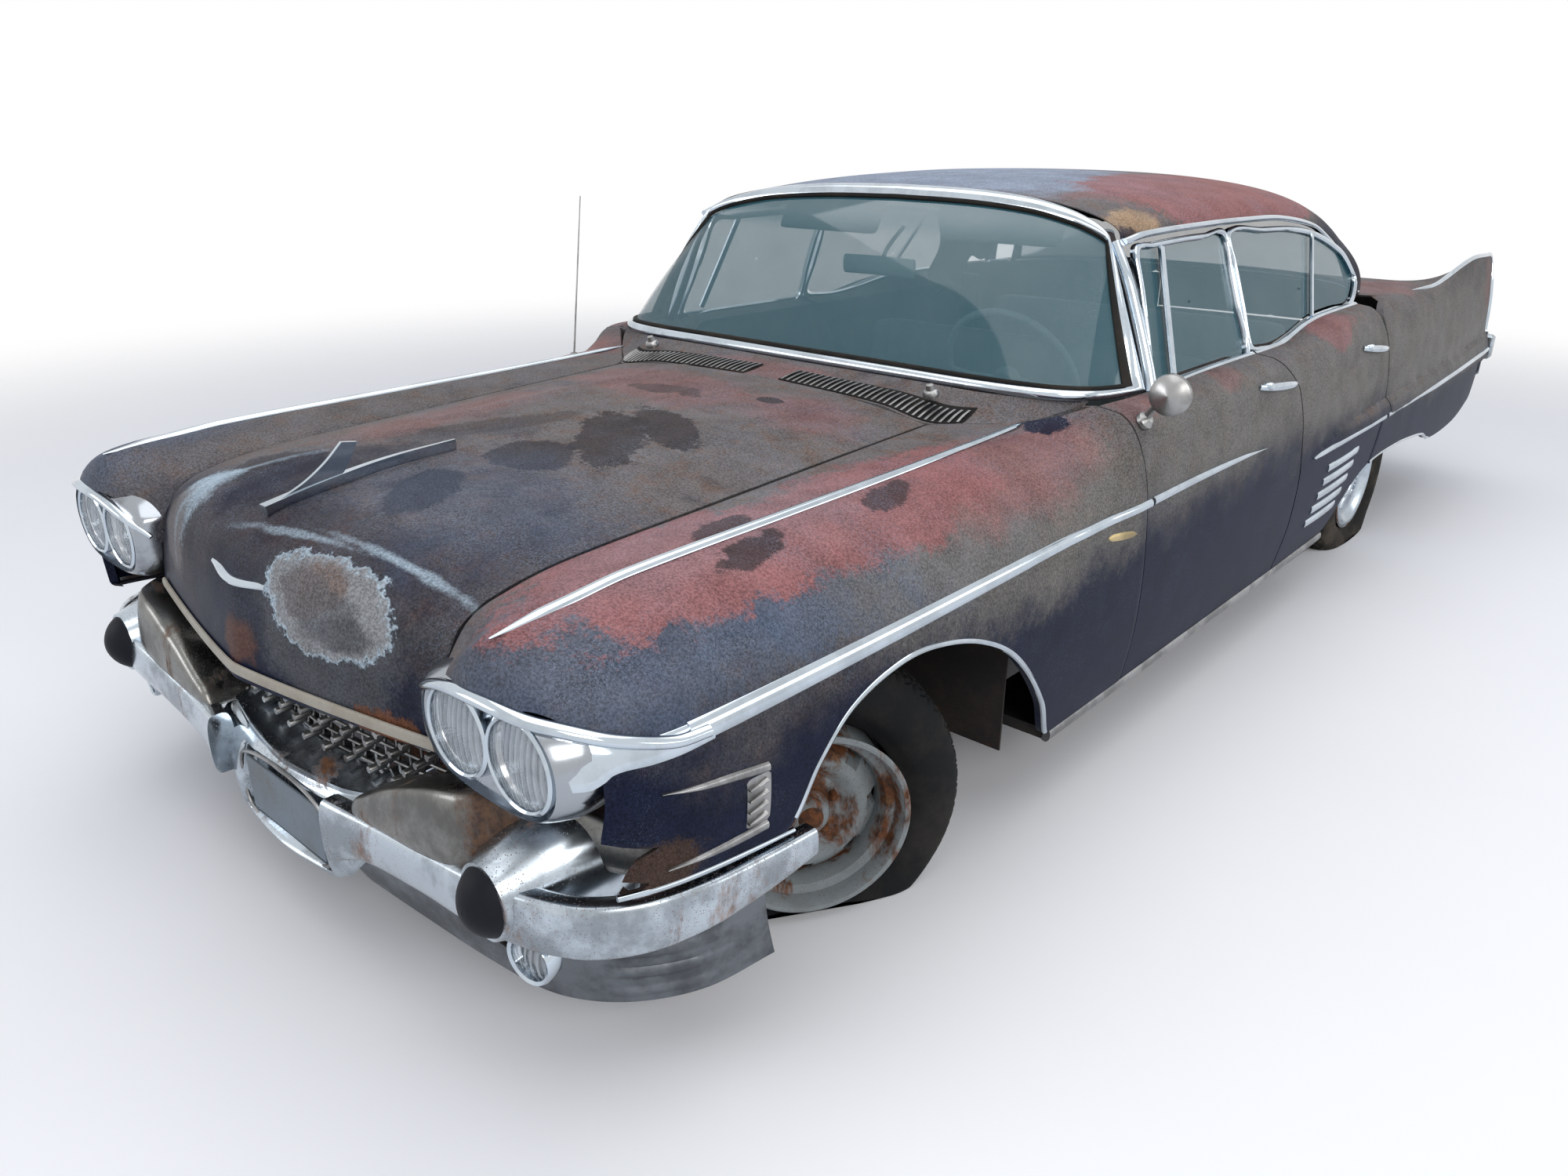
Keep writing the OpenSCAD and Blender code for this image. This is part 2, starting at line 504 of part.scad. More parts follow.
// ---- bumpers and front ----------------------------------------------------------

// Bumper bar: x, station, lower and upper height, for the left half from the middle out.
BAR = [[0, 96, 205, 392], [180, 104, 235, 388], [330, 118, 300, 392], [520, 118, 328, 420], [727, 122, 345, 446],
       [868, 165, 350, 452], [940, 240, 352, 452], [976, 340, 356, 448], [990, 470, 366, 442], [992, 590, 376, 434]];
function bar_section(p, depth) = let (h = p[3] - p[2], back = p[0] > 900 ? [-depth, 0] : [0, depth])
    [[p[0], p[1], p[2]], [p[0] + (p[0] > 900 ? 8 : 0), p[1] - (p[0] > 900 ? 0 : 22), p[2] + h / 2], [p[0], p[1], p[3]],
     [p[0] + back[0], p[1] + back[1], p[3] - 4], [p[0] + back[0], p[1] + back[1], p[2] + 4]];
function mirrored(L) = concat([for (i = [len(L) - 1:-1:1]) [-L[i][0], L[i][1], L[i][2], L[i][3]]], L);
function flip(S) = [for (p = S) [-p[0], p[1], p[2]]];

// Upper wing of the bumper beside the grille: x, station, lower and upper height.
WING = [[296, 128, 384, 392], [340, 124, 392, 436], [430, 118, 412, 492], [545, 118, 424, 540], [660, 124, 436, 566],
        [770, 140, 446, 560], [850, 190, 452, 520]];
// Valance below the bar.
VALANCE = [[210, 172, 165, 236], [360, 190, 150, 300], [575, 205, 150, 330], [726, 228, 152, 345], [838, 290, 160, 348],
           [925, 390, 176, 352], [968, 520, 196, 360]];

module front_bumper() {
    color(chrome) {
        skinned(concat([for (i = [len(BAR) - 1:-1:1]) flip(bar_section(BAR[i], 40))], [for (p = BAR) bar_section(p, 40)]));
        both_sides() {
            skinned([for (p = WING) [[p[0], p[1], p[2]], [p[0], p[1] - 34, mix(p[2], p[3], 0.45)], [p[0], p[1] + 4, p[3]],
                [p[0], p[1] + 80, p[3]], [p[0], p[1] + 80, p[2]]]]);
            wall([for (p = VALANCE) [for (w = steps(3)) [p[0], p[1] - 30 * w, mix(p[2], p[3], w)]]], -skin);
            translate([727, front_tip, 415]) rotate([-90, 0, 0]) rotate_extrude($fn = 48)
                polygon([[0, 0], [26, 8], [46, 28], [58, 54], [63, 80], [74, 110], [84, 160], [80, 190], [0, 190]]);
            block([300, 155, 300], [360, 249, 360]);
        }
    }
}

REAR_BAR = [[0, 5545, 400, 560], [420, 5540, 405, 565], [640, 5535, 410, 600], [820, 5520, 420, 660], [920, 5510, 470, 705],
            [985, 5470, 520, 715]];
module rear_bumper() {
    color(chrome) {
        skinned(concat([for (i = [len(REAR_BAR) - 1:-1:1]) flip(rear_section(REAR_BAR[i]))],
            [for (p = REAR_BAR) rear_section(p)]));
        both_sides() {
            translate([930, 5452, 640]) rotate([-90, 0, 0]) cylinder(h = 115, r1 = 70, r2 = 62, $fn = 40);
            block([960, 5450, 590], [car_width / 2, 5500, 700]);
        }
        difference() {
            block([-200, 5537, 370], [200, 5567, 520]);
            for (x = [-89, 89], z = [384.5, 505.5])
                translate([x, 5500, z]) rotate([-90, 0, 0]) cylinder(h = 100, r = 3.5, $fn = 24);
        }
    }
}
function rear_section(p) = let (d = min(70, p[1] - 5448)) [[p[0], p[1] - 0.4 * d, p[2]],
    [p[0], p[1], mix(p[2], p[3], 0.3)], [p[0], p[1], mix(p[2], p[3], 0.7)],
    [p[0], p[1] - 0.6 * d, p[3]], [p[0], p[1] - d, mix(p[2], p[3], 0.5)]];

module grille() {
    color(chrome) {
        for (z = [410:36:554]) block([-500, 262, z], [500, 268, z + 6]);
        for (x = [-480:60:480]) block([x - 3, 262, 400], [x + 3, 268, 570]);
        both_sides() block([494, 262, 400], [500, 300, 570]);
    }
}

module headlamp_pods() {
    color(chrome) both_sides() for (x = [669, 824]) translate([x, 126, 692]) rotate([-90, 0, 0])
        rotate_extrude($fn = 48) polygon([[0, 12], [68, 22], [74, 0], [82, 4], [76, 60], [70, 180], [0, 180]]);
}

// ---- cabin ----------------------------------------------------------------------

module seat(front, cushion_z, back_top, floor_z) {
    rotate([90, 0, 90]) translate([0, 0, -660]) linear_extrude(1320) polygon([
        [front, floor_z], [front - 10, cushion_z - 20], [front + 30, cushion_z], [front + 440, cushion_z - 30],
        [front + 560, back_top], [front + 640, back_top], [front + 600, floor_z]]);
}
module front_seat() { color(cloth) seat(2330, 500, 880, 272); }
module rear_seat() {
    color(cloth) rotate([90, 0, 90]) translate([0, 0, -620]) linear_extrude(1240) polygon([
        [3180, 290], [3170, 470], [3210, 500], [3600, 470], [3730, 900], [3800, 900], [3690, 530], [3540, 356], [3370, 345],
        [3310, 290]]);
}

module dashboard() {
    color(navy) rotate([90, 0, 90]) translate([0, 0, -760]) linear_extrude(1520) polygon([
        [1760, 900], [1780, 935], [1900, 930], [1960, 880], [1950, 800], [1880, 760], [1800, 780]]);
    color(steel) translate(wheel_centre) rotate([-(90 - column_tilt), 0, 0]) translate([0, 0, -560]) {
        cylinder(h = 500, r = 24, $fn = 32);
        cylinder(h = 575, r = 12, $fn = 32);
    }
}

module steering_wheel() {
    color(cloth) translate(wheel_centre) rotate([-(90 - column_tilt), 0, 0]) {
        rotate_extrude($fn = 64) translate([212, 0]) circle(r = 11, $fn = 24);
        difference() {
            union() {
                translate([0, 0, -40]) cylinder(h = 40, r = 40, $fn = 40);
                block([-208, -12, -24], [208, 12, -6]);
            }
            translate([0, 0, -60]) cylinder(h = 100, r = 12 + fit, $fn = 32);
        }
    }
}

module headliner() {
    grid = [for (v = steps(6)) [for (a = steps(8)) let (p = roof_point(mix(0.86, -0.86, a), mix(2260, 3700, v)))
        p - [0, 0, 34]]];
    color(cloth) wall(grid, 6);
}

// ---- nodes ----------------------------------------------------------------------

place() frame_rails();
place() floor_pan();
place() cowl();
place() front_fender();  // front_fender_left
place() mirror([1, 0, 0]) front_fender();  // front_fender_right
place() inner_fenders();
place() radiator();
place() quarter();  // quarter_left
place() mirror([1, 0, 0]) quarter();  // quarter_right
place() roof();
place() windshield_frame();
place() fixed_glass();
place() rear_deck();
place() tail_panel();
place() trunk_lid();
place() hood();
place() front_door();  // front_door_left
place() mirror([1, 0, 0]) front_door();  // front_door_right
place() rear_door();  // rear_door_left
place() mirror([1, 0, 0]) rear_door();  // rear_door_right
place() front_glass();  // front_glass_left
place() mirror([1, 0, 0]) front_glass();  // front_glass_right
place() rear_glass();  // rear_glass_left
place() mirror([1, 0, 0]) rear_glass();  // rear_glass_right
place() front_bumper();
place() rear_bumper();
place() grille();
place() headlamp_pods();
place() engine();
place() exhaust();
place() fuel_tank();
place() front_suspension();
place() steered(hub_low) knuckle_solid();  // knuckle_left
place() steered_right(hub_z) knuckle_solid();  // knuckle_right
place() rear_axle();
place() steered(hub_low) wheel_solid();  // front_wheel_left
place() steered_right(hub_z) wheel_solid();  // front_wheel_right
place() rear_left() wheel_solid();  // rear_wheel_left
place() mirror([1, 0, 0]) rear_left() wheel_solid();  // rear_wheel_right
place() steered(hub_low) tyre_solid(tyre_r, -60, hub_low);  // front_tyre_left
place() steered_right(hub_z) tyre_solid(tyre_r, 0, hub_z);  // front_tyre_right
place() rear_left() tyre_solid(tyre_r, 0, hub_z);  // rear_tyre_left
place() mirror([1, 0, 0]) rear_left() tyre_solid(tyre_r, 0, hub_z);  // rear_tyre_right
place() front_seat();
place() rear_seat();
place() dashboard();
place() steering_wheel();
place() headliner();
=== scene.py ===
"""Looks of a weathered late 1950s four-door hardtop sedan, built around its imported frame.

Body panels, bright trim, lamps, glass, wheels and cabin are surfaces worked out with numpy.
Inside the shape functions a point is x to the car's left, s the station behind a datum ahead of
the bumper, and z the height, all in millimetres. home() turns them into the frame's metres.
"""

import math

import bpy
import numpy as np
from bpy.props import FloatProperty, FloatVectorProperty, IntProperty, PointerProperty
from mathutils import Matrix, Vector


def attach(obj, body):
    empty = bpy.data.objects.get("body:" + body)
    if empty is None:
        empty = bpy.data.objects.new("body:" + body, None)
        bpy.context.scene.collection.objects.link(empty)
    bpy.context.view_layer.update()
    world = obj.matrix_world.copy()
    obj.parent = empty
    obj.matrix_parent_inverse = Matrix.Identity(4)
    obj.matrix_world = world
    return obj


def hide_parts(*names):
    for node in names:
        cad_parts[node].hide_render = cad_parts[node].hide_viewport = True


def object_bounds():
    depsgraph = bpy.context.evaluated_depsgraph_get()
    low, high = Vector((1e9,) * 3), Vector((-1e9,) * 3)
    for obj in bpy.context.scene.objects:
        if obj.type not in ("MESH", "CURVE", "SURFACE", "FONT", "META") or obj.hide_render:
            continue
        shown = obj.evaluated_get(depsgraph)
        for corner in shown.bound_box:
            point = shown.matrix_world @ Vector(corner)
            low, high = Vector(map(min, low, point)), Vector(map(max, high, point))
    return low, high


bl_info = {
    "name": "Weathered Sedan",
    "version": (1, 0, 0),
    "blender": (4, 5, 0),
    "location": "3D View > Sidebar > Sedan",
    "description": "Builds the panels, trim, lamps, wheels and cabin of a weathered hardtop sedan",
    "category": "Object",
}

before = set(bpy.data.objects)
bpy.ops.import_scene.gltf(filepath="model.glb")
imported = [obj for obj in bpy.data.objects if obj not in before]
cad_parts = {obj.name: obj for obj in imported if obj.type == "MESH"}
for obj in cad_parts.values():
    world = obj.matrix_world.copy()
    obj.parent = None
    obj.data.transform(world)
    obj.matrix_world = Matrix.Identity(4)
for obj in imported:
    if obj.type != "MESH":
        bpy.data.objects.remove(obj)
CAD_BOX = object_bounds()
FRONT_TIP = 60.0
MIDDLE = FRONT_TIP - 1000 * CAD_BOX[0][1]
ROOF_HEIGHT = 1440.0

# ---- shape tables: the driving lines of the body, in millimetres -------------------------------

# Body side: station, inner edge x and z, rise exponent, crest x and z, shoulder exponent, widest x.
SIDE = np.array([
    [100, 562, 660, 0.8, 720, 780, 2.2, 903], [115, 562, 675, 0.8, 720, 812, 2.2, 920],
    [135, 562, 695, 0.8, 720, 840, 2.2, 934], [165, 562, 722, 0.8, 720, 858, 2.2, 950],
    [231, 562, 806, 0.7, 718, 869, 2.3, 969], [310, 562, 835, 0.7, 715, 875, 2.3, 981],
    [431, 562, 854, 0.7, 712, 882, 2.3, 990], [800, 562, 871, 0.7, 705, 889, 2.3, 1000],
    [1170, 562, 887, 0.7, 705, 895, 2.3, 1003], [1450, 562, 898, 0.75, 708, 901, 2.3, 1003],
    [1530, 572, 901, 0.8, 715, 903, 2.4, 1003],
    [1640, 690, 903, 1, 735, 905, 2.5, 1003], [1727, 795, 925, 1, 805, 927, 2.7, 1003],
    [1785, 855, 950, 1, 860, 951, 2.9, 1003], [1900, 880, 956, 1, 885, 957, 3, 1003],
    [2100, 880, 956, 1, 885, 957, 3, 1003], [2320, 873, 957, 1, 878, 958, 3, 1003],
    [2600, 873, 957, 1, 878, 958, 3, 1003], [2950, 873, 957, 1, 878, 958, 3, 1003],
    [3060, 870, 974, 1, 875, 975, 3, 1002], [3170, 867, 991, 1, 872, 992, 3, 1001],
    [3320, 865, 1001, 1, 870, 1002, 3, 1000], [3690, 855, 1003, 1, 868, 1004, 3, 996],
    [3945, 800, 1001, 1.5, 866, 1003, 3, 994], [4040, 770, 1001, 1.5, 868, 1001, 3, 993],
    [4150, 705, 1003, 1.8, 872, 999, 2.8, 992], [4240, 640, 1005, 2, 880, 996, 2.6, 991],
    [4340, 606, 1008, 2.2, 890, 993, 2.4, 991], [4535, 606, 1002, 2.6, 912, 992, 2, 990],
    [4653, 606, 989, 3, 920, 1007, 1.8, 990], [4903, 606, 960, 3.4, 930, 1050, 1.5, 989],
    [5082, 606, 941, 3.6, 932, 1067, 1.4, 987], [5300, 606, 912, 3.8, 932, 1063, 1.4, 984],
    [5440, 606, 885, 4, 928, 1056, 1.4, 978]])
WIDEST_Z, TUCK, TUCK_Z = 600.0, 38.0, 230.0

# Lower edge of the body side with both wheel arches: station and height.
LOWER = np.array([
    [100, 492], [500, 447], [545, 466], [598, 549], [682, 625], [817, 662], [942, 658], [1094, 614],
    [1243, 525], [1402, 357], [1470, 244], [1500, 240], [3420, 240], [3480, 262], [3560, 322], [3660, 388],
    [3827, 429], [4100, 430], [4320, 417], [4600, 384], [4760, 338], [5190, 339], [5440, 405]])

# Panel cuts: share of the height from lower edge to crest, and station.
FENDER_NOSE = np.array([[0, 165], [0.25, 160], [0.45, 180], [0.62, 185], [0.78, 160], [0.9, 122], [1, 104]])
TORN_NOSE = np.array([[0, 205], [0.05, 250], [0.1, 196], [0.16, 214], [0.2, 262], [0.25, 205], [0.3, 168],
                      [0.45, 180], [0.62, 185], [0.78, 160], [0.9, 122], [1, 104]])
DOOR_FRONT = np.array([[0, 1862], [0.2, 1857], [0.45, 1835], [0.68, 1812], [0.88, 1790], [1, 1785]])
DOOR_MIDDLE = np.array([[0, 2930], [0.2, 2953], [0.45, 2938], [0.7, 2882], [0.86, 2835], [0.95, 2765],
    [1, 2715]])
DOOR_REAR = np.array([[0, 3790], [0.25, 3828], [0.5, 3805], [0.75, 3765], [0.9, 3725], [1, 3690]])
PANEL_GAP = 8.0

# Raised spear along the rear door and quarter: station and upper height; its lower edge is level.
BULGE_TOP = np.array([[3041, 606], [3235, 652], [3712, 664], [4470, 672], [4851, 690], [5440, 712]])
BULGE_LOW = 604.0

# Hood: share of the way back; centre station and height, edge station and height.
HOOD = np.array([
    [0, 68, 577, 160, 587], [0.07, 84, 690, 170, 660], [0.14, 96, 760, 182, 720], [0.2, 118, 820, 200, 766],
    [0.27, 160, 856, 226, 802], [0.34, 230, 882, 290, 832], [0.45, 420, 903, 440, 856],
    [0.6, 740, 924, 740, 871], [0.8, 1140, 938, 1140, 888], [1, 1516, 941, 1516, 902]])
HOOD_HALF = 550.0

# Cowl: share of the half width; x, front station and height, rear station and height.
COWL = np.array([
    [0, 0, 1527, 940, 1676, 962], [0.45, 400, 1527, 925, 1680, 962], [0.64, 554, 1527, 902, 1684, 960],
    [0.75, 632, 1600, 903, 1700, 958], [0.86, 725, 1676, 908, 1732, 955], [0.94, 792, 1742, 934, 1780, 955],
    [1, 824, 1790, 952, 1806, 956]])

# Windshield and rear window: share of the half width; base x, station, height, header x, station, height.
SHIELD = np.array([
    [0, 0, 1688, 966, 0, 2143, 1399], [0.3, 330, 1690, 966, 250, 2138, 1394],
    [0.55, 590, 1702, 964, 445, 2118, 1380], [0.72, 745, 1740, 962, 570, 2096, 1358],
    [0.84, 822, 1802, 960, 640, 2080, 1338], [0.93, 857, 1890, 958, 682, 2070, 1320],
    [1, 872, 2008, 956, 708, 2064, 1302]])
BACKLIGHT = np.array([
    [0, 0, 4330, 1008, 0, 3818, 1382], [0.4, 300, 4312, 1008, 250, 3825, 1373],
    [0.7, 540, 4245, 1007, 455, 3851, 1340], [0.88, 675, 4145, 1005, 580, 3877, 1292],
    [1, 742, 4045, 1003, 650, 3909, 1235]])

# Roof: station, centre height, rail x and rail height.
ROOF = np.array([
    [2050, ROOF_HEIGHT - 44, 712, 1298], [2150, ROOF_HEIGHT - 34, 726, 1308],
    [2400, ROOF_HEIGHT - 12, 745, 1314],
    [2700, ROOF_HEIGHT - 1, 752, 1313], [2900, ROOF_HEIGHT, 752, 1310], [3200, ROOF_HEIGHT - 6, 746, 1299],
    [3480, ROOF_HEIGHT - 20, 738, 1264], [3720, ROOF_HEIGHT - 44, 742, 1186],
    [3830, ROOF_HEIGHT - 60, 755, 1120],
    [3940, ROOF_HEIGHT - 80, 788, 1012], [4040, ROOF_HEIGHT - 100, 792, 1010]])
ROOF_FRONT = np.array([[0, 2164], [0.35, 2159], [0.62, 2138], [0.8, 2114], [0.93, 2100], [1, 2096]])
ROOF_REAR = np.array([[0, 3800], [0.35, 3808], [0.62, 3832], [0.78, 3862], [0.88, 3905], [0.94, 3950],
    [1, 3992]])

# Trunk lid: share of the way back; station, centre height and edge height.
LID = np.array([
    [0, 4454, 1013, 1006], [0.25, 4700, 992, 984], [0.5, 4960, 962, 953], [0.72, 5200, 930, 922],
    [0.85, 5340, 898, 892], [0.93, 5415, 850, 846], [1, 5436, 690, 690]])
LID_HALF = 598.0

# Side windows: station and height of each outline, on one leaning surface.
FRONT_PANE = np.array([
    [2060, 949], [2200, 948], [2400, 948], [2550, 948], [2693, 948], [2693, 1080], [2693, 1190],
    [2693, 1294],
    [2550, 1296], [2400, 1296], [2200, 1292], [2112, 1286], [2094, 1190], [2076, 1080]], float)
REAR_PANE = np.array([
    [2711, 968], [2790, 951], [2900, 948], [3040, 962], [3180, 983], [3320, 993], [3500, 996],
    [3680, 998], [3772, 1060],
    [3762, 1104], [3695, 1172], [3600, 1212], [3480, 1246], [3340, 1270], [3200, 1282], [2980, 1290],
    [2711, 1294], [2711, 1190], [2711, 1080]], float)

# Front bumper bar, upper wing and valance: x, station, lower and upper height.
BAR = np.array([
    [236, 98, 262, 400], [330, 114, 300, 396], [520, 118, 328, 420], [727, 122, 345, 446],
    [868, 165, 350, 452],
    [940, 240, 352, 452], [976, 340, 356, 448], [990, 470, 366, 442], [992, 590, 376, 434]], float)
WING = np.array([
    [296, 136, 388, 394], [312, 126, 388, 424], [340, 122, 390, 440], [430, 118, 400, 492],
    [545, 118, 410, 538],
    [640, 128, 420, 560], [690, 168, 426, 560], [740, 226, 430, 552], [800, 262, 434, 536],
    [860, 290, 436, 520],
    [905, 325, 438, 500], [940, 380, 436, 474], [956, 430, 430, 452]], float)
VALANCE = np.array([
    [210, 172, 165, 236], [360, 190, 150, 300], [575, 205, 150, 330], [726, 228, 152, 345],
    [838, 290, 160, 348],
    [925, 390, 176, 352], [968, 520, 196, 360]], float)
REAR_BAR = np.array([
    [0, 5545, 400, 560], [420, 5540, 405, 565], [640, 5535, 410, 600], [820, 5520, 420, 660],
    [920, 5510, 470, 705],
    [985, 5470, 520, 715]], float)

LAMP_XS, LAMP_FACE, LAMP_Z = (669.0, 824.0), 126.0, 692.0
BULLET_AT = (727.0, 61.0, 415.0)
LID_FRONT, TAIL = 4446.0, 5440.0
FRONT_AXLE, REAR_AXLE = 905.0, 905.0 + 3289.0
KINGPIN_X, KINGPIN_OFFSET, STEER_REST = 682.0, 70.0, math.radians(33)
REAR_TRACK, HUB_LOW, HUB_Z = 774.0, 232.0, 255.0
TYRE_W = 200.0
WHEEL_CENTRE, COLUMN_TILT = np.array([355.0, 2241, 888]), math.radians(25)

# ---- small tools --------------------------------------------------------------------------------


def home(points):
    """Metres in the frame from millimetres with y as the station."""
    return (np.asarray(points, float) - [0, MIDDLE, 0]) / 1000


def mix(a, b, t):
    """Straight blend from a at t = 0 to b at t = 1."""
    return a + (b - a) * t


def curve(table, u):
    """Row of the table at u: a cubic between neighbouring rows whose slopes come from their
    neighbours."""
    u = np.clip(np.asarray(u, float), table[0, 0], table[-1, 0])
    k = np.clip(np.searchsorted(table[:, 0], u, side="right") - 1, 0, len(table) - 2)
    index = np.arange(len(table))
    before, after = table[np.maximum(index - 1, 0)], table[np.minimum(index + 1, len(table) - 1)]
    slopes = (after - before) / (after[:, :1] - before[:, :1])
    h = (table[k + 1, 0] - table[k, 0])[..., None]
    t = (u - table[k, 0])[..., None] / h
    return ((2 * t**3 - 3 * t**2 + 1) * table[k] + (t**3 - 2 * t**2 + t) * h * slopes[k]
        + (3 * t**2 - 2 * t**3) * table[k + 1] + (t**3 - t**2) * h * slopes[k + 1])


def along(points, n, loop=False):
    """n points of the same smooth curve through points, evenly spaced by length."""
    points = np.asarray(points, float)
    if loop:
        points = np.vstack([points, points[:1]])
    steps = np.r_[0, np.cumsum(np.linalg.norm(np.diff(points, axis=0), axis=1))]
    table = np.column_stack([steps, points])
    if loop:
        total = steps[-1]
        table = np.vstack([table[-3:-1] - [[total] + [0] * points.shape[1]], table,
            table[1:3] + [[total] + [0] * points.shape[1]]])
    return curve(table, np.linspace(0, steps[-1], n, endpoint=not loop))[:, 1:]


def stack(*columns):
    """Coordinates side by side, spread to one shape."""
    return np.stack(np.broadcast_arrays(*columns), -1).astype(float)


def signed_power(wave, p):
    """A sine or cosine raised to the power p, with its sign kept."""
    return np.sign(wave) * np.abs(wave) ** p


def turn_of(n):
    """n angles evenly round a full turn."""
    return np.arange(n) * 2 * math.pi / n


def normals(grid):
    """Unit normals of a grid, across its two directions."""
    n = np.cross(np.gradient(grid, axis=0), np.gradient(grid, axis=1))
    return n / np.maximum(np.linalg.norm(n, axis=-1, keepdims=True), 1e-9)


def unit(v):
    """Vectors divided by their lengths."""
    return v / np.maximum(np.linalg.norm(v, axis=-1, keepdims=True), 1e-9)


def outward(points, faces):
    """The closed mesh with its faces turned to point outwards, judged by its signed volume."""
    volume = 0.0
    for f in faces:
        for k in range(1, f.shape[1] - 1):
            a, b, c = points[f[:, 0]], points[f[:, k]], points[f[:, k + 1]]
            volume += np.einsum("ij,ij->", np.cross(a, b), c)
    return points, ([f[:, ::-1] for f in faces] if volume < 0 else faces)


def quads(m, n, start=0, loop_m=False, loop_n=False):
    """Quads of an m by n grid of vertices, joined round in either direction."""
    i, j = np.meshgrid(np.arange(m if loop_m else m - 1), np.arange(n if loop_n else n - 1), indexing="ij")
    i2, j2 = (i + 1) % m, (j + 1) % n
    return start + np.stack([i * n + j, i * n + j2, i2 * n + j2, i2 * n + j], -1).reshape(-1, 4)


def between(outer, inner, loop=False):
    """Closed solid between two grids of one size; with loop, both close round in their first
    direction."""
    m, n = outer.shape[:2]
    k = m * n
    faces = [quads(m, n, 0, loop), quads(m, n, k, loop)[:, ::-1]]
    rim = lambda a: np.stack([a[:-1], a[1:], a[1:] + k, a[:-1] + k], -1)[:, ::-1]
    i, j = np.arange(m), np.arange(n)
    if loop:
        i = np.r_[i, 0]
    faces += [rim(i * n)[:, ::-1], rim(i * n + n - 1)]
    if not loop:
        faces += [rim(j), rim((m - 1) * n + j)[:, ::-1]]
    return outward(np.vstack([outer.reshape(-1, 3), inner.reshape(-1, 3)]), faces)


def shell(grid, thick, loop=False):
    """Closed wall from the grid to the same grid moved by thick against its normals."""
    if loop:
        n = normals(np.concatenate([grid[-2:], grid, grid[:2]]))[2:-2]
    else:
        n = normals(grid)
    return between(grid, grid - thick * n, loop)


def skinned(sections, loop=False):
    """Closed tube through an array of closed sections, with flat ends fanned from their middles."""
    m, n = sections.shape[:2]
    points = sections.reshape(-1, 3)
    faces = [quads(m, n, 0, loop, True)]
    if not loop:
        j = np.arange(n)
        points = np.vstack([points, sections[0].mean(0), sections[-1].mean(0)])
        faces.append(np.stack([(j + 1) % n, j, np.full(n, m * n)], -1))
        faces.append(np.stack([(m - 1) * n + j, (m - 1) * n + (j + 1) % n, np.full(n, m * n + 1)], -1))
    return outward(points, faces)


def rod(path, radius, sides=10, flat=1.0, up=(0, 0, 1), loop=False):
    """Round or flattened profile carried along a path; radius may change along it, flat squeezes it."""
    path = np.asarray(path, float)
    tangent = unit(np.roll(path, -1, 0) - np.roll(path, 1, 0)) if loop else unit(np.gradient(path, axis=0))
    side = unit(np.cross(tangent, np.asarray(up, float)))
    top = np.cross(side, tangent)
    a = turn_of(sides)
    r = np.broadcast_to(np.asarray(radius, float), (len(path),))[:, None, None]
    ring = side[:, None] * np.cos(a)[None, :, None] + top[:, None] * flat * np.sin(a)[None, :, None]
    return skinned(path[:, None] + r * ring, loop)


def strip(left, right, rise, across=7, sink=4.0, loop=False, power=0.6):
    """Trim between two edge lines: its height above them is rise times the power of a half sine
    across."""
    left, right = np.asarray(left, float), np.asarray(right, float)
    mid = (left + right) / 2
    ahead = np.roll(mid, -1, 0) - np.roll(mid, 1, 0) if loop else np.gradient(mid, axis=0)
    n = unit(np.cross(ahead, right - left))[:, None]
    w = np.linspace(0, 1, across)
    height = np.broadcast_to(np.asarray(rise, float), (len(mid),))[:, None, None]
    flat = left[:, None] + (right - left)[:, None] * w[None, :, None]
    return between(flat + n * height * (np.sin(math.pi * w) ** power)[None, :, None], flat - n * sink, loop)


def lathe(profile, sides=48, wave=None):
    """Profile of (radius, height) pairs turned about Z; wave(angle, radius) may move the height."""
    profile = np.asarray(profile, float)
    a = turn_of(sides)
    z = profile[:, 1][None] + (0 if wave is None else wave(a[:, None], profile[:, 0][None]))
    grid = stack(profile[:, 0][None] * np.cos(a)[:, None], profile[:, 0][None] * np.sin(a)[:, None], z)
    return outward(grid.reshape(-1, 3), [quads(sides, len(profile), 0, True, True)])


def turned(part, axis, centre, roll=0.0):
    """The part with its Z carried to axis, turned by roll about it, and moved to centre."""
    axis = unit(np.asarray(axis, float))
    helper = np.array([0.0, 0, 1]) if abs(axis[2]) < 0.9 else np.array([0.0, 1, 0])
    x = unit(np.cross(helper, axis))
    y = np.cross(axis, x)
    c, s = math.cos(roll), math.sin(roll)
    points = part[0] @ np.array([c * x + s * y, -s * x + c * y, axis])
    return points + np.asarray(centre, float), part[1]


def spun(profile, sides, axis, centre):
    """A lathe of the profile about an axis through a centre."""
    return turned(lathe(profile, sides), axis, centre)


def flipped(part):
    """Mirror image across the car's middle plane, with the faces turned back outwards."""
    return part[0] * [-1, 1, 1], [f[:, ::-1] for f in part[1]]


def both(parts):
    """The parts and their mirror images."""
    return list(parts) + [flipped(p) for p in parts]


def bar(low, high, soft=0.0):
    """Box between two corners with its edges drawn in by soft, as four skinned rounded sections."""
    low, high = np.asarray(low, float), np.asarray(high, float)
    half, mid = (high - low) / 2, (high + low) / 2
    a = (np.arange(24) + 0.5) * 2 * math.pi / 24
    ring = lambda inset: np.stack([signed_power(np.cos(a), 0.25) * (half[0] - inset),
        signed_power(np.sin(a), 0.25) * (half[1] - inset)], -1)
    soft = max(min(soft, 0.45 * half.min()), 0.05)
    levels = [(-half[2], soft), (-half[2] + soft, 0), (half[2] - soft, 0), (half[2], soft)]
    sections = np.stack([np.column_stack([ring(i), np.full(24, z)]) for z, i in levels])
    return skinned(sections + mid)


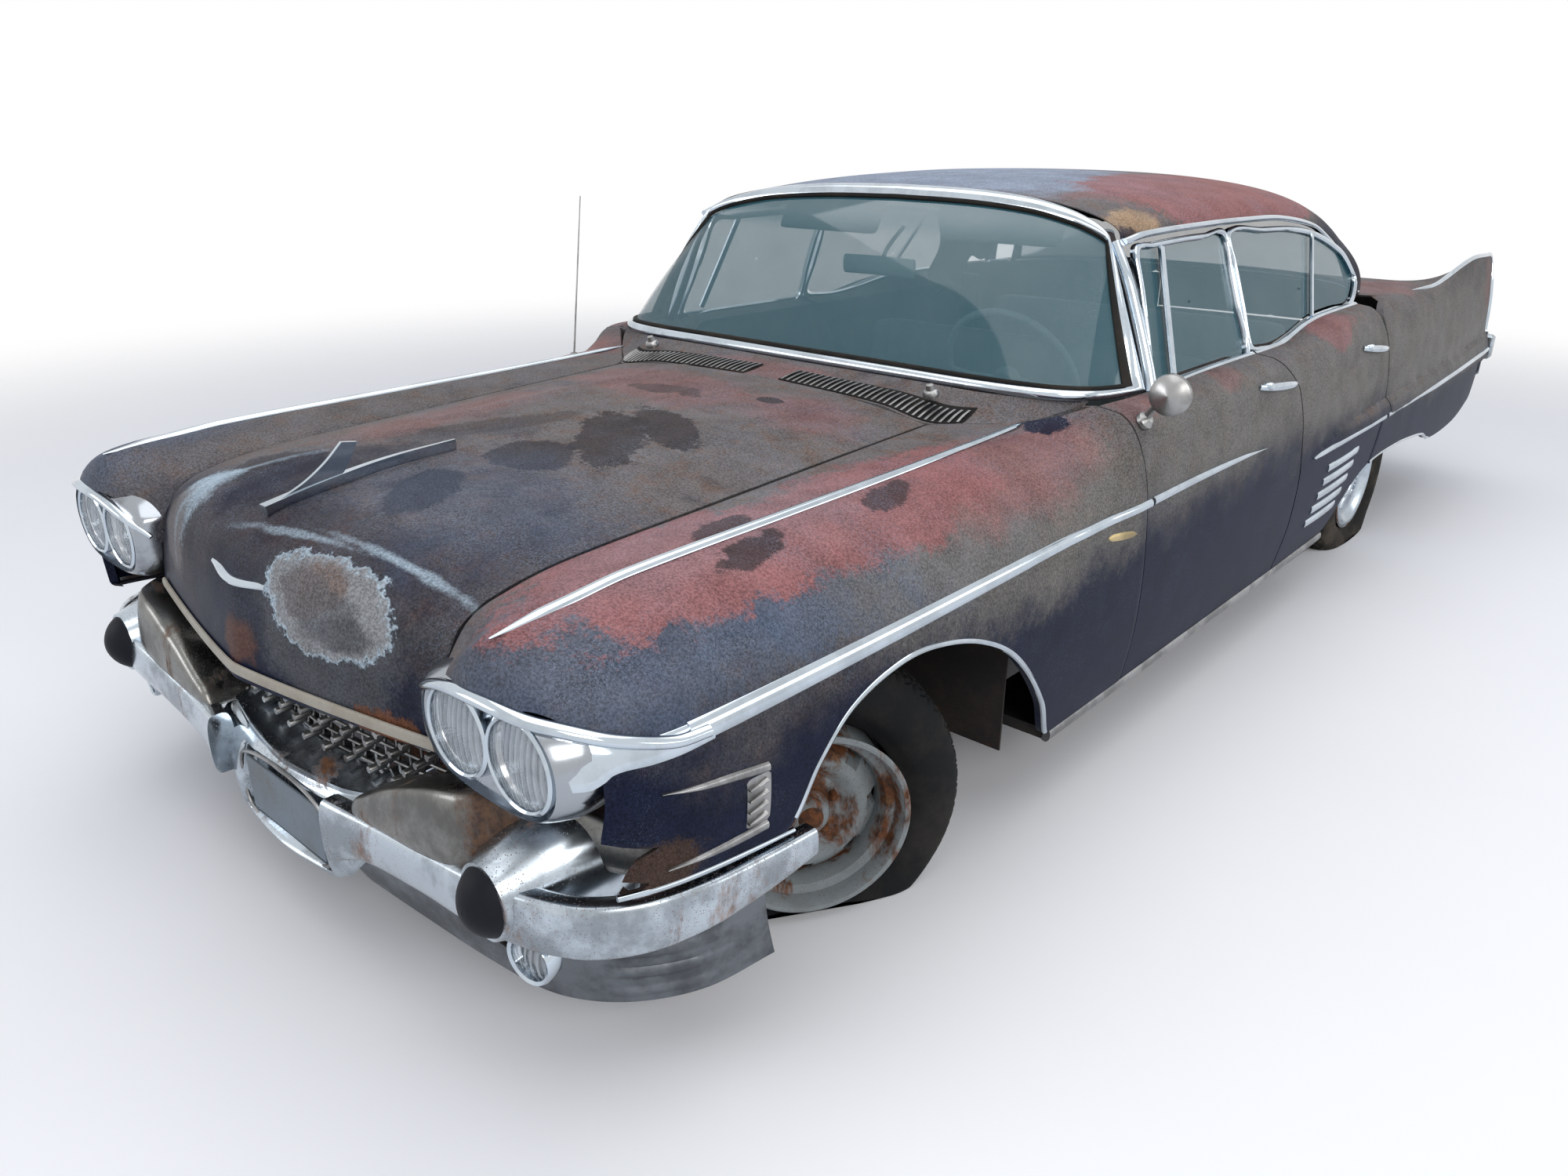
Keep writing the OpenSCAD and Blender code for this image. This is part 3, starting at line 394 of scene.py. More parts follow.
def piece(name, parts, material, body="body", replaces=(), sharp=38.0):
    """One mesh object from closed parts, at the origin, with its material and body; the solids it replaces
    are hidden.
    """
    points = home(np.vstack([p for p, _ in parts]))
    starts = np.cumsum([0] + [len(p) for p, _ in parts])
    faces = [f + start for (_, fs), start in zip(parts, starts) for f in fs]
    sizes = np.concatenate([np.full(len(f), f.shape[1]) for f in faces])
    loops = np.concatenate([f.ravel() for f in faces])
    mesh = bpy.data.meshes.new(name)
    mesh.vertices.add(len(points))
    mesh.vertices.foreach_set("co", points.astype(np.float32).ravel())
    mesh.loops.add(len(loops))
    mesh.loops.foreach_set("vertex_index", loops.astype(np.int32))
    mesh.polygons.add(len(sizes))
    mesh.polygons.foreach_set("loop_start", (np.cumsum(sizes) - sizes).astype(np.int32))
    mesh.polygons.foreach_set("loop_total", sizes.astype(np.int32))
    mesh.polygons.foreach_set("use_smooth", np.ones(len(sizes), bool))
    mesh.update(calc_edges=True)
    mesh.validate()
    mesh.set_sharp_from_angle(angle=math.radians(sharp))
    obj = bpy.data.objects.new(name, mesh)
    bpy.context.scene.collection.objects.link(obj)
    mesh.materials.append(MATERIALS[material])
    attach(obj, body)
    if replaces:
        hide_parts(*replaces)
    return obj


# ---- settings -----------------------------------------------------------------------------------


def colour_of(name, description, value):
    """A colour property with its default."""
    return FloatVectorProperty(name=name, description=description, subtype="COLOR", size=3, min=0,
        max=1, default=value)


class SedanPaintSettings(bpy.types.PropertyGroup):
    """Colours of the weathered body paint, linear."""

    navy: colour_of("Navy", "Sound paint low on the sides", (0.007, 0.010, 0.026))
    film: colour_of("Film", "Brown-grey weathered film on what faces up", (0.138, 0.124, 0.122))
    brown: colour_of("Brown", "Rust-brown mottle in the film", (0.150, 0.088, 0.060))
    olive: colour_of("Side film", "Dusty film on the upper sides", (0.150, 0.141, 0.128))
    oxide: colour_of("Oxide", "Red primer where the paint has worn through", (0.268, 0.116, 0.114))
    stain: colour_of("Stain", "Dark stains on the film", (0.036, 0.031, 0.034))
    # Pale chalk colour: chalky worn edges and the rims of bare spots, and also painted highlight lines on
    # the hood.
    chalk_and_highlight: colour_of("Pale", "Chalky worn edges", (0.400, 0.490, 0.560))
    bare: colour_of("Bare", "Bare scuffed metal and filler", (0.270, 0.275, 0.280))
    speckle: colour_of("Speckle", "Fine light specks", (0.200, 0.250, 0.330))


class SedanTrimSettings(bpy.types.PropertyGroup):
    """Bright metal, glass and rust colours, linear."""

    chrome: colour_of("Chrome", "Bright trim", (0.50, 0.56, 0.62))
    satin: colour_of("Satin", "Dulled bright metal", (0.40, 0.40, 0.40))
    rust: colour_of("Rust", "Rust on metal", (0.155, 0.060, 0.026))
    glass: colour_of("Glass", "Tinted window glass", (0.045, 0.165, 0.210))
    belt_width: FloatProperty(name="Belt width", description="Width of the belt moulding",
        default=0.026, unit="LENGTH")
    drip_radius: FloatProperty(name="Drip rail", description="Half width of the drip rail",
        default=0.011, unit="LENGTH")


class SedanCabinSettings(bpy.types.PropertyGroup):
    """Colours and counts inside the cabin."""

    vinyl: colour_of("Vinyl", "Seat vinyl", (0.200, 0.235, 0.240))
    cloth: colour_of("Headliner", "Torn headliner cloth", (0.055, 0.060, 0.062))
    ivory: colour_of("Wheel rim", "Steering wheel plastic", (0.300, 0.400, 0.390))
    pleats: IntProperty(name="Pleats", description="Sewn channels across a bench", default=17, min=5,
        max=40)


class SedanStageSettings(bpy.types.PropertyGroup):
    """Camera and floor."""

    lens: FloatProperty(name="Lens", description="Focal length on a 36 mm sensor", default=25.84,
        unit="CAMERA")
    azimuth: FloatProperty(name="Azimuth", description="Camera's turn about the car",
        default=math.radians(41.38), subtype="ANGLE")
    elevation: FloatProperty(name="Elevation", description="Camera's tilt down",
        default=math.radians(21.96), subtype="ANGLE")
    roll: FloatProperty(name="Roll", description="Camera's roll", default=math.radians(0.45),
        subtype="ANGLE")
    position: FloatVectorProperty(name="Position", description="Camera's place", subtype="XYZ", size=3,
        default=(2.0444, -3.4955, 1.5419), unit="LENGTH")
    floor_radius: FloatProperty(name="Floor", description="Radius of the floor", default=14.0,
        unit="LENGTH")


# ---- shader node groups -------------------------------------------------------------------------


def put(tree, kind, inputs=None, **settings):
    """A node with its settings and inputs; an input is a value or a socket; colours are opaque."""
    n = tree.nodes.new(kind)
    for key, value in settings.items():
        setattr(n, key, value)
    for key, value in (inputs or {}).items():
        if isinstance(value, bpy.types.NodeSocket):
            tree.links.new(value, n.inputs[key])
        else:
            n.inputs[key].default_value = (*value[:3], 1.0) if n.inputs[key].type == "RGBA" else value
    return n


def maths(tree, operation, a, b=0.0, c=0.0, clamp=False):
    """One operation on up to three values."""
    n = put(tree, "ShaderNodeMath", {0: a, 1: b, 2: c}, operation=operation, use_clamp=clamp)
    return n.outputs[0]


def times(tree, a, b, clamp=False):
    """a times b."""
    return maths(tree, "MULTIPLY", a, b, clamp=clamp)


def madd(tree, a, b, c, clamp=False):
    """a times b plus c."""
    return maths(tree, "MULTIPLY_ADD", a, b, c, clamp)


def blend(tree, amount, a, b, kind="MIX"):
    """Mix of two colours; a fixed colour is given as three numbers."""
    n = put(tree, "ShaderNodeMix", {0: amount, 6: a, 7: b}, data_type="RGBA", blend_type=kind)
    return n.outputs[2]


def ramp(tree, value, low, high, out_low=0.0, out_high=1.0):
    """Smooth step of a value from low to high."""
    n = put(tree, "ShaderNodeMapRange", {0: value, 1: low, 2: high, 3: out_low, 4: out_high},
        interpolation_type="SMOOTHSTEP")
    return n.outputs[0]


def noise(tree, vector, scale, detail=4.0, rough=0.6, distortion=0.0):
    """Fractal noise between 0 and 1 over a vector."""
    n = put(tree, "ShaderNodeTexNoise", {"Vector": vector, "Scale": scale, "Detail": detail,
        "Roughness": rough, "Distortion": distortion})
    return n.outputs[0]


def node_group(name, inputs, outputs):
    """An empty shader group with its sockets; returns the tree, its input node and its output node."""
    tree = bpy.data.node_groups.new(name, "ShaderNodeTree")
    kinds = {"c": "NodeSocketColor", "f": "NodeSocketFloat", "v": "NodeSocketVector"}
    for socket, kind, value in inputs:
        made = tree.interface.new_socket(name=socket, in_out="INPUT", socket_type=kinds[kind])
        if value is not None:
            made.default_value = (*value[:3], 1.0) if kind == "c" else value
    for socket, kind in outputs:
        tree.interface.new_socket(name=socket, in_out="OUTPUT", socket_type=kinds[kind])
    return tree, tree.nodes.new("NodeGroupInput"), tree.nodes.new("NodeGroupOutput")


def make_blotch():
    """Mask of a ragged ellipsoid: one inside, with its distance shaken by two noises; and its thin
    rim."""
    tree, i, o = node_group("Ragged Blotch", [("Vector", "v", None), ("Centre", "v", None),
        ("Size", "v", (1, 1, 1)), ("Turn", "f", 0.0), ("Ragged", "f", 0.5), ("Grain", "f", 9.0),
        ("Edge", "f", 0.08)], [("Mask", "f"), ("Rim", "f")])
    moved = put(tree, "ShaderNodeVectorMath", {0: i.outputs["Vector"], 1: i.outputs["Centre"]},
        operation="SUBTRACT")
    rotated = put(tree, "ShaderNodeVectorRotate",
        {"Vector": moved.outputs[0], "Angle": i.outputs["Turn"]}, rotation_type="Z_AXIS")
    sized = put(tree, "ShaderNodeVectorMath", {0: rotated.outputs[0], 1: i.outputs["Size"]},
        operation="DIVIDE")
    length = put(tree, "ShaderNodeVectorMath", {0: sized.outputs[0]}, operation="LENGTH").outputs["Value"]
    coarse = noise(tree, i.outputs["Vector"], i.outputs["Grain"], 8.0, 0.62)
    fine = noise(tree, i.outputs["Vector"], times(tree, i.outputs["Grain"], 14.0), 4.0, 0.7)
    shake = madd(tree, fine, 0.5, maths(tree, "ADD", coarse, -0.75))
    far = madd(tree, shake, times(tree, i.outputs["Ragged"], 1.5), length)
    low = maths(tree, "SUBTRACT", 1.0, i.outputs["Edge"])
    high = maths(tree, "ADD", 1.0, i.outputs["Edge"])
    tree.links.new(ramp(tree, far, low, high, 1.0, 0.0), o.inputs["Mask"])
    away = maths(tree, "ABSOLUTE", maths(tree, "SUBTRACT", far, 1.0))
    tree.links.new(ramp(tree, away, 0.01, 0.085, 1.0, 0.0), o.inputs["Rim"])
    return tree


def make_grain():
    """Fine mottle and light specks over a colour, and a height for its bump."""
    tree, i, o = node_group("Paint Grain", [("Vector", "v", None), ("Color", "c", (0.1, 0.1, 0.1)),
        ("Speckle", "c", (0.2, 0.2, 0.2)), ("Specks", "f", 0.5)],
        [("Color", "c"), ("Height", "f"), ("Mottle", "f")])
    v = i.outputs["Vector"]
    fine = noise(tree, v, 210.0, 3.0, 0.75)
    broad = noise(tree, v, 11.0, 5.0, 0.62)
    tone = madd(tree, ramp(tree, fine, 0.32, 0.68), 0.75, madd(tree, broad, 0.9, 0.16))
    grey = put(tree, "ShaderNodeCombineColor", {0: tone, 1: tone, 2: tone}).outputs[0]
    toned = blend(tree, 1.0, i.outputs["Color"], grey, "MULTIPLY")
    cells = put(tree, "ShaderNodeTexVoronoi", {"Vector": v, "Scale": 130.0,
        "Randomness": 1.0}).outputs["Distance"]
    where = ramp(tree, noise(tree, v, 6.0, 4.0), 0.42, 0.64)
    dots = times(tree, ramp(tree, cells, 0.16, 0.30, 1.0, 0.0), where)
    drift = times(tree, ramp(tree, noise(tree, v, 420.0, 2.0, 0.8), 0.52, 0.66), where)
    amount = times(tree, maths(tree, "MAXIMUM", dots, drift), i.outputs["Specks"], clamp=True)
    tree.links.new(blend(tree, amount, toned, i.outputs["Speckle"]), o.inputs["Color"])
    tree.links.new(madd(tree, dots, 0.4, fine), o.inputs["Height"])
    tree.links.new(broad, o.inputs["Mottle"])
    return tree


def make_rust():
    """Mask of rust that gathers in patches, pits and runs below them, and its mottled colour."""
    tree, i, o = node_group("Surface Rust", [("Vector", "v", None), ("Rust", "c", (0.15, 0.06, 0.03)),
        ("Amount", "f", 0.3), ("Scale", "f", 9.0), ("Pits", "f", 0.4)],
        [("Mask", "f"), ("Color", "c"), ("Height", "f")])
    v = i.outputs["Vector"]
    stretch = put(tree, "ShaderNodeVectorMath", {0: v, 1: (1.0, 1.0, 0.35)},
        operation="MULTIPLY").outputs[0]
    patch = noise(tree, stretch, i.outputs["Scale"], 7.0, 0.68, 0.35)
    edge = maths(tree, "SUBTRACT", 0.80, times(tree, i.outputs["Amount"], 0.5))
    broad = ramp(tree, patch, edge, maths(tree, "ADD", edge, 0.10))
    pit = put(tree, "ShaderNodeTexVoronoi", {"Vector": v, "Scale": 210.0}).outputs["Distance"]
    near = ramp(tree, patch, maths(tree, "SUBTRACT", edge, 0.16), edge)
    pits = times(tree, ramp(tree, pit, 0.12, 0.26, 1.0, 0.0), times(tree, near, i.outputs["Pits"]))
    tree.links.new(maths(tree, "MAXIMUM", broad, pits), o.inputs["Mask"])
    tone = noise(tree, v, 60.0, 5.0, 0.7)
    dark = blend(tree, ramp(tree, tone, 0.35, 0.7), i.outputs["Rust"], (0.045, 0.026, 0.020))
    light = blend(tree, times(tree, ramp(tree, noise(tree, v, 23.0), 0.55, 0.75), 0.5), dark,
        (0.33, 0.17, 0.07))
    tree.links.new(light, o.inputs["Color"])
    tree.links.new(tone, o.inputs["Height"])
    return tree


GROUPS = {}


def groups():
    """The shared shader groups, made once."""
    if not GROUPS:
        GROUPS.update(blotch=make_blotch(), grain=make_grain(), rust=make_rust())
    return GROUPS


def use(tree, group, inputs):
    """A shared group placed in a material, with its own values; returns its outputs."""
    return put(tree, "ShaderNodeGroup", inputs, node_tree=groups()[group]).outputs


# ---- materials ----------------------------------------------------------------------------------

MATERIALS = {}


def new_material(name, **sockets):
    """A node material with a Principled shader whose fixed sockets are set directly."""
    m = bpy.data.materials.new(name)
    m.use_nodes = True
    shader = m.node_tree.nodes["Principled BSDF"]
    for key, value in sockets.items():
        shader.inputs[key.replace("_", " ")].default_value = value
    coords = put(m.node_tree, "ShaderNodeTexCoord")
    MATERIALS[name] = m
    return m, m.node_tree, shader, coords.outputs["Object"]


def bump(tree, shader, height, strength, distance):
    """Bump from a height, into the shader."""
    n = put(tree, "ShaderNodeBump", {"Height": height, "Strength": strength, "Distance": distance})
    tree.links.new(n.outputs[0], shader.inputs["Normal"])


def place(x, s, z):
    """Metres in the frame, as plain numbers for a socket."""
    return tuple(float(c) for c in home([x, s, z]))


# Finish marks, among them painted highlight lines and a painted sky reflection: kind, centre, size
# (millimetres), turn in degrees, raggedness, grain, edge, strength.
FENDER_MARKS = [
    ("blue", (860, 330, 830), (210, 330, 110), 12, 0.9, 6, 0.35, 0.6),
    ("blue", (945, 860, 810), (90, 420, 90), 6, 1.2, 7, 0.3, 0.6),
    ("olive", (900, 1350, 760), (170, 620, 170), 0, 0.8, 6, 0.35, 0.75),
    ("oxide", (730, 520, 880), (200, 330, 90), 0, 1.0, 7, 0.12, 0.95),
    ("oxide", (790, 960, 890), (175, 430, 90), 0, 1.0, 7, 0.16, 0.9),
    ("oxide", (850, 1430, 880), (130, 330, 110), -8, 0.9, 6, 0.4, 0.62),
    ("chalk_and_highlight", (700, 640, 890), (150, 420, 60), 0, 1.2, 9, 0.5, 0.10),
    ("stain", (697, 678, 886), (38, 78, 60), -14, 0.9, 22, 0.1, 0.8),
    ("stain", (801, 648, 877), (36, 92, 60), -14, 1.1, 24, 0.1, 0.85),
    ("stain", (798, 1037, 883), (32, 80, 60), -14, 1.1, 24, 0.1, 0.8),
    ("navy", (775, 1690, 914), (52, 62, 60), 0, 1.2, 20, 0.12, 0.95),
    ("oxide", (735, 225, 862), (40, 60, 50), 0, 1.2, 20, 0.3, 0.5),
]
TORN_MARKS = [("torn", (935, 235, 500), (110, 110, 62), 0, 0.8, 18, 0.15, 0.95)]
HOOD_MARKS = [
    ("oxide", (-120, 1290, 936), (330, 150, 60), 8, 1.1, 5, 0.3, 0.42),
    ("oxide", (330, 1330, 930), (160, 110, 60), 0, 1.1, 7, 0.4, 0.4),
    ("oxide", (-330, 800, 910), (110, 330, 60), 0, 1.2, 6, 0.5, 0.35),
    ("navy", (430, 420, 830), (170, 220, 70), 20, 0.9, 6, 0.5, 0.55),
    ("navy", (0, 190, 800), (560, 150, 190), 0, 1.2, 5, 0.5, 0.6),
    ("stain", (140, 680, 916), (105, 88, 50), 0, 0.7, 9, 0.05, 0.85),
    ("stain", (190, 860, 922), (210, 75, 50), 42, 1.3, 6, 0.05, 0.85),
    ("stain", (210, 1000, 930), (190, 60, 50), 28, 1.3, 6, 0.05, 0.85),
    ("stain", (145, 415, 900), (70, 115, 50), -35, 0.9, 14, 0.06, 0.85),
    ("stain", (-285, 330, 880), (140, 95, 60), 0, 0.8, 10, 0.08, 0.85),
    ("stain", (-120, 760, 925), (60, 210, 50), 30, 1.1, 10, 0.1, 0.5),
    ("stain", (210, 1342, 937), (36, 27, 40), 0, 0.7, 20, 0.06, 0.9),
    ("stain", (-60, 1250, 938), (120, 45, 40), 0, 1.2, 16, 0.08, 0.6),
    ("blue", (250, 480, 880), (330, 200, 90), 0, 1.2, 6, 0.5, 0.45),
    ("chalk_and_highlight", (-355, 195, 830), (80, 85, 85), 0, 1.5, 12, 0.3, 0.85),
    ("film", (-400, 160, 760), (90, 80, 90), 0, 1.0, 10, 0.3, 0.9),
    # The three thin pale lines below are painted highlights along the hood's front roll and its side rib.
    ("chalk_and_highlight", (385, 235, 866), (190, 9, 200), -7, 1.6, 22, 0.6, 0.6),
    ("chalk_and_highlight", (110, 180, 850), (150, 8, 200), -10, 1.6, 22, 0.6, 0.55),
    ("chalk_and_highlight", (-330, 290, 868), (14, 150, 200), 20, 1.6, 22, 0.6, 0.5),
    ("navy", (-180, 330, 890), (120, 210, 60), 0, 1.2, 6, 0.4, 0.7),
    ("grey", (275, 118, 730), (190, 90, 150), 0, 0.7, 6, 0.2, 0.75),
    ("bare", (290, 120, 785), (165, 90, 92), 0, 0.8, 3, 0.04, 0.85),
    ("brown", (255, 130, 815), (75, 60, 40), 0, 1.0, 4, 0.2, 0.7),
    ("grey", (330, 125, 745), (60, 60, 30), 0, 1.2, 4, 0.2, 0.7),
    ("grey", (300, 130, 760), (80, 80, 50), 0, 1.2, 12, 0.2, 0.7),
    ("film", (215, 130, 800), (60, 60, 45), 0, 1.2, 12, 0.1, 0.85),
    ("rust", (10, 85, 655), (60, 60, 40), 0, 1.3, 20, 0.3, 0.5),
    ("rust", (420, 130, 600), (70, 60, 30), 0, 1.3, 25, 0.15, 0.8),
]
ROOF_MARKS = [
    # The two large light blue-grey patches below are a painted reflection of the sky on the roof.
    ("sky_reflection", (-100, 2500, 1430), (620, 560, 120), 0, 0.8, 4, 0.25, 0.85),
    ("sky_reflection", (-300, 3200, 1430), (420, 700, 120), 0, 0.8, 4, 0.4, 0.6),
    ("oxide", (600, 2980, 1390), (290, 760, 140), 0, 0.7, 7, 0.05, 0.85),
    ("film", (560, 2250, 1380), (120, 90, 60), 0, 1.2, 12, 0.2, 0.5),
    ("tan", (690, 2190, 1320), (60, 110, 60), 0, 1.3, 14, 0.25, 0.8),
    ("navy", (715, 2120, 1300), (40, 50, 30), 0, 1.0, 20, 0.2, 0.8),
    ("navy", (760, 3760, 1140), (120, 260, 190), 0, 0.7, 6, 0.3, 0.8),
]
FRONT_DOOR_MARKS = [
    ("olive", (985, 2400, 830), (120, 900, 130), 0, 0.8, 5, 0.5, 0.75),
    ("oxide", (932, 2378, 948), (60, 80, 40), 0, 1.2, 14, 0.3, 0.35),
    ("oxide", (915, 1860, 948), (60, 90, 36), 0, 1.2, 14, 0.3, 0.4),
]
REAR_DOOR_MARKS = [
    ("olive", (985, 3300, 830), (120, 700, 150), 0, 0.8, 5, 0.5, 0.8),
    ("oxide", (925, 3260, 975), (75, 170, 75), 0, 0.9, 9, 0.15, 0.6),
]
QUARTER_MARKS = [
    ("olive", (985, 4600, 800), (200, 1100, 190), 0, 0.8, 5, 0.5, 0.8),
    ("oxide", (800, 4260, 1005), (120, 230, 40), 0, 1.1, 8, 0.25, 0.4),
    ("oxide", (925, 5360, 900), (60, 90, 150), 0, 1.3, 12, 0.4, 0.3),
]
DECK_MARKS = [("oxide", (0, 4750, 985), (560, 360, 60), 0, 0.9, 4, 0.3, 0.55),
              ("stain", (200, 5000, 960), (180, 90, 60), 0, 0.9, 7, 0.1, 0.7)]


def kinds():
    """Colour of each kind of mark."""
    p = bpy.context.scene.sedan_paint
    trim = bpy.context.scene.sedan_trim
    # The pale chalk colour serves both chalky wear and painted highlight lines.
    return {"oxide": p.oxide, "stain": p.stain, "chalk_and_highlight": p.chalk_and_highlight, "bare": p.bare, "film": p.film,
        "olive": p.olive, "navy": p.navy, "brown": p.brown, "rust": trim.rust,
        # The light blue-grey sky colour is a painted sky reflection.
        "sky_reflection": (0.27, 0.32, 0.41), "tan": (0.38, 0.26, 0.16), "grey": (0.085, 0.088, 0.095),
        "torn": (0.050, 0.030, 0.022), "blue": (0.070, 0.098, 0.150)}


def paint(name, marks, mirrored=False, film=1.0):
    """Body paint: navy low down, a brown-grey film on what faces up, its own marks, then specks."""
    p, colours = bpy.context.scene.sedan_paint, kinds()
    m, tree, shader, v = new_material(name, Specular_IOR_Level=0.06)
    height = put(tree, "ShaderNodeSeparateXYZ", {0: v}).outputs[2]
    normal = put(tree, "ShaderNodeNewGeometry").outputs["Normal"]
    facing = put(tree, "ShaderNodeSeparateXYZ", {0: normal}).outputs[2]
    wander = noise(tree, v, 3.2, 5.0, 0.65)
    lift = madd(tree, wander, 0.5, maths(tree, "ADD", height, -0.25))
    upper = times(tree, ramp(tree, lift, 0.60, 0.86), 0.62 * film)
    top = times(tree, ramp(tree, madd(tree, wander, 0.5, facing), 0.55, 1.0), film)
    colour = blend(tree, upper, p.navy, p.olive)
    colour = blend(tree, top, colour, p.film)
    brown = times(tree, ramp(tree, noise(tree, v, 16.0, 7.0, 0.72), 0.47, 0.66), 0.6 * film)
    colour = blend(tree, times(tree, brown, maths(tree, "MAXIMUM", upper, top)), colour, p.brown)
    cool = times(tree, ramp(tree, noise(tree, v, 4.1, 6.0, 0.7, 0.4), 0.52, 0.68), 0.45)
    colour = blend(tree, times(tree, cool, top), colour, p.navy)
    rough = ramp(tree, maths(tree, "MAXIMUM", upper, top), 0.0, 1.0, 0.40, 0.62)
    for kind, centre, size, turn, ragged, grain, edge, strength in marks:
        x = -centre[0] if mirrored else centre[0]
        spot = use(tree, "blotch", {"Vector": v, "Centre": place(x, centre[1], centre[2]),
            "Size": tuple(d / 1000 for d in size), "Turn": math.radians(-turn if mirrored else turn),
            "Ragged": ragged, "Grain": float(grain), "Edge": edge})
        if kind == "bare":
            colour = blend(tree, spot["Rim"], colour, p.chalk_and_highlight)
        mask = times(tree, spot["Mask"], strength)
        colour = blend(tree, mask, colour, colours[kind])
    specks = madd(tree, maths(tree, "MAXIMUM", upper, top), 0.36, 0.10)
    grain = use(tree, "grain", {"Vector": v, "Color": colour, "Speckle": p.speckle, "Specks": specks})
    tree.links.new(grain["Color"], shader.inputs["Base Color"])
    tree.links.new(rough, shader.inputs["Roughness"])
    bump(tree, shader, grain["Height"], 0.22, 0.0006)
    return m


def metal(name, colour, roughness, rust_amount, scale=9.0, pits=0.4, dull=0.12, rust=None, fade=0.55):
    """Bright or bare metal with a dulling haze and rust that breaks through it."""
    m, tree, shader, v = new_material(name)
    spots = use(tree, "rust", {"Vector": v, "Rust": rust or bpy.context.scene.sedan_trim.rust,
        "Amount": rust_amount, "Scale": scale, "Pits": pits})
    haze = noise(tree, v, 7.0, 5.0, 0.65)
    body = blend(tree, ramp(tree, haze, 0.42, 0.62), colour, [c * fade for c in colour])
    tree.links.new(blend(tree, spots["Mask"], body, spots["Color"]), shader.inputs["Base Color"])
    shine = madd(tree, ramp(tree, haze, 0.3, 0.8), dull, roughness)
    fine = madd(tree, noise(tree, v, 160.0, 2.0), 0.05, shine)
    tree.links.new(maths(tree, "MAXIMUM", fine, times(tree, spots["Mask"], 0.8)),
        shader.inputs["Roughness"])
    tree.links.new(maths(tree, "SUBTRACT", 1.0, spots["Mask"]), shader.inputs["Metallic"])
    bump(tree, shader, times(tree, spots["Height"], spots["Mask"]), 0.35, 0.0012)
    return m


def coated(name, colour, roughness, rust_amount, grime=(0.09, 0.07, 0.05), grime_amount=0.4, scale=8.0,
        weave=0.0):
    """Painted or dirty surface: a mottled colour, grime in broad patches, and rust."""
    m, tree, shader, v = new_material(name, Specular_IOR_Level=0.12)
    spots = use(tree, "rust", {"Vector": v, "Rust": bpy.context.scene.sedan_trim.rust,
        "Amount": rust_amount, "Scale": scale, "Pits": 0.8})
    broad = noise(tree, v, 6.0, 6.0, 0.65)
    dirty = blend(tree, times(tree, ramp(tree, broad, 0.4, 0.7), grime_amount), colour, grime)
    fine = noise(tree, v, 90.0, 4.0, 0.7)
    dirty = blend(tree, times(tree, fine, 0.5), dirty, [c * 0.55 for c in colour])
    tree.links.new(blend(tree, spots["Mask"], dirty, spots["Color"]), shader.inputs["Base Color"])
    tree.links.new(madd(tree, broad, 0.25, roughness - 0.1), shader.inputs["Roughness"])
    height = fine
    if weave:
        wave = put(tree, "ShaderNodeTexWave", {"Vector": v, "Scale": weave, "Distortion": 1.5},
            bands_direction="DIAGONAL")
        height = madd(tree, wave.outputs["Fac"], 0.6, fine)
    bump(tree, shader, height, 0.35, 0.0008)
    return m


def window_glass(name, colour, alpha, dust, band=0.0):
    """Tinted glass with a film of dust, and a darker band towards the top of the windshield."""
    m, tree, shader, v = new_material(name, Roughness=0.04, Specular_IOR_Level=0.9, IOR=1.5)
    film = times(tree, ramp(tree, noise(tree, v, 5.0, 6.0, 0.7), 0.35, 0.8), dust)
    specks = times(tree, ramp(tree, noise(tree, v, 210.0, 2.0, 0.8), 0.66, 0.74), dust * 0.12)
    cover = maths(tree, "ADD", film, specks, clamp=True)
    height = put(tree, "ShaderNodeSeparateXYZ", {0: v}).outputs[2]
    shade = times(tree, ramp(tree, height, 1.27, 1.34), band)
    tint = blend(tree, shade, colour, [c * 0.3 for c in colour])
    tree.links.new(blend(tree, cover, tint, (0.26, 0.27, 0.25)), shader.inputs["Base Color"])
    solid = madd(tree, cover, 0.5, maths(tree, "ADD", shade, alpha))
    tree.links.new(maths(tree, "MINIMUM", solid, 0.96), shader.inputs["Alpha"])
    return m


def lens_glass(name):
    """Clear lens pressed with upright flutes."""
    m, tree, shader, v = new_material(name, Roughness=0.06, Specular_IOR_Level=0.8,
        Base_Color=(0.70, 0.75, 0.78, 1))
    wave = put(tree, "ShaderNodeTexWave", {"Vector": v, "Scale": 26.0, "Distortion": 0.15},
        bands_direction="X")
    grime = ramp(tree, noise(tree, v, 14.0, 5.0), 0.4, 0.75)
    line = ramp(tree, wave.outputs["Fac"], 0.15, 0.55, 0.50, 0.08)
    tree.links.new(blend(tree, line, (0.68, 0.73, 0.77), (0.34, 0.37, 0.40)), shader.inputs["Base Color"])
    tree.links.new(madd(tree, grime, 0.2, line, clamp=True), shader.inputs["Alpha"])
    bump(tree, shader, wave.outputs["Fac"], 0.8, 0.003)
    return m


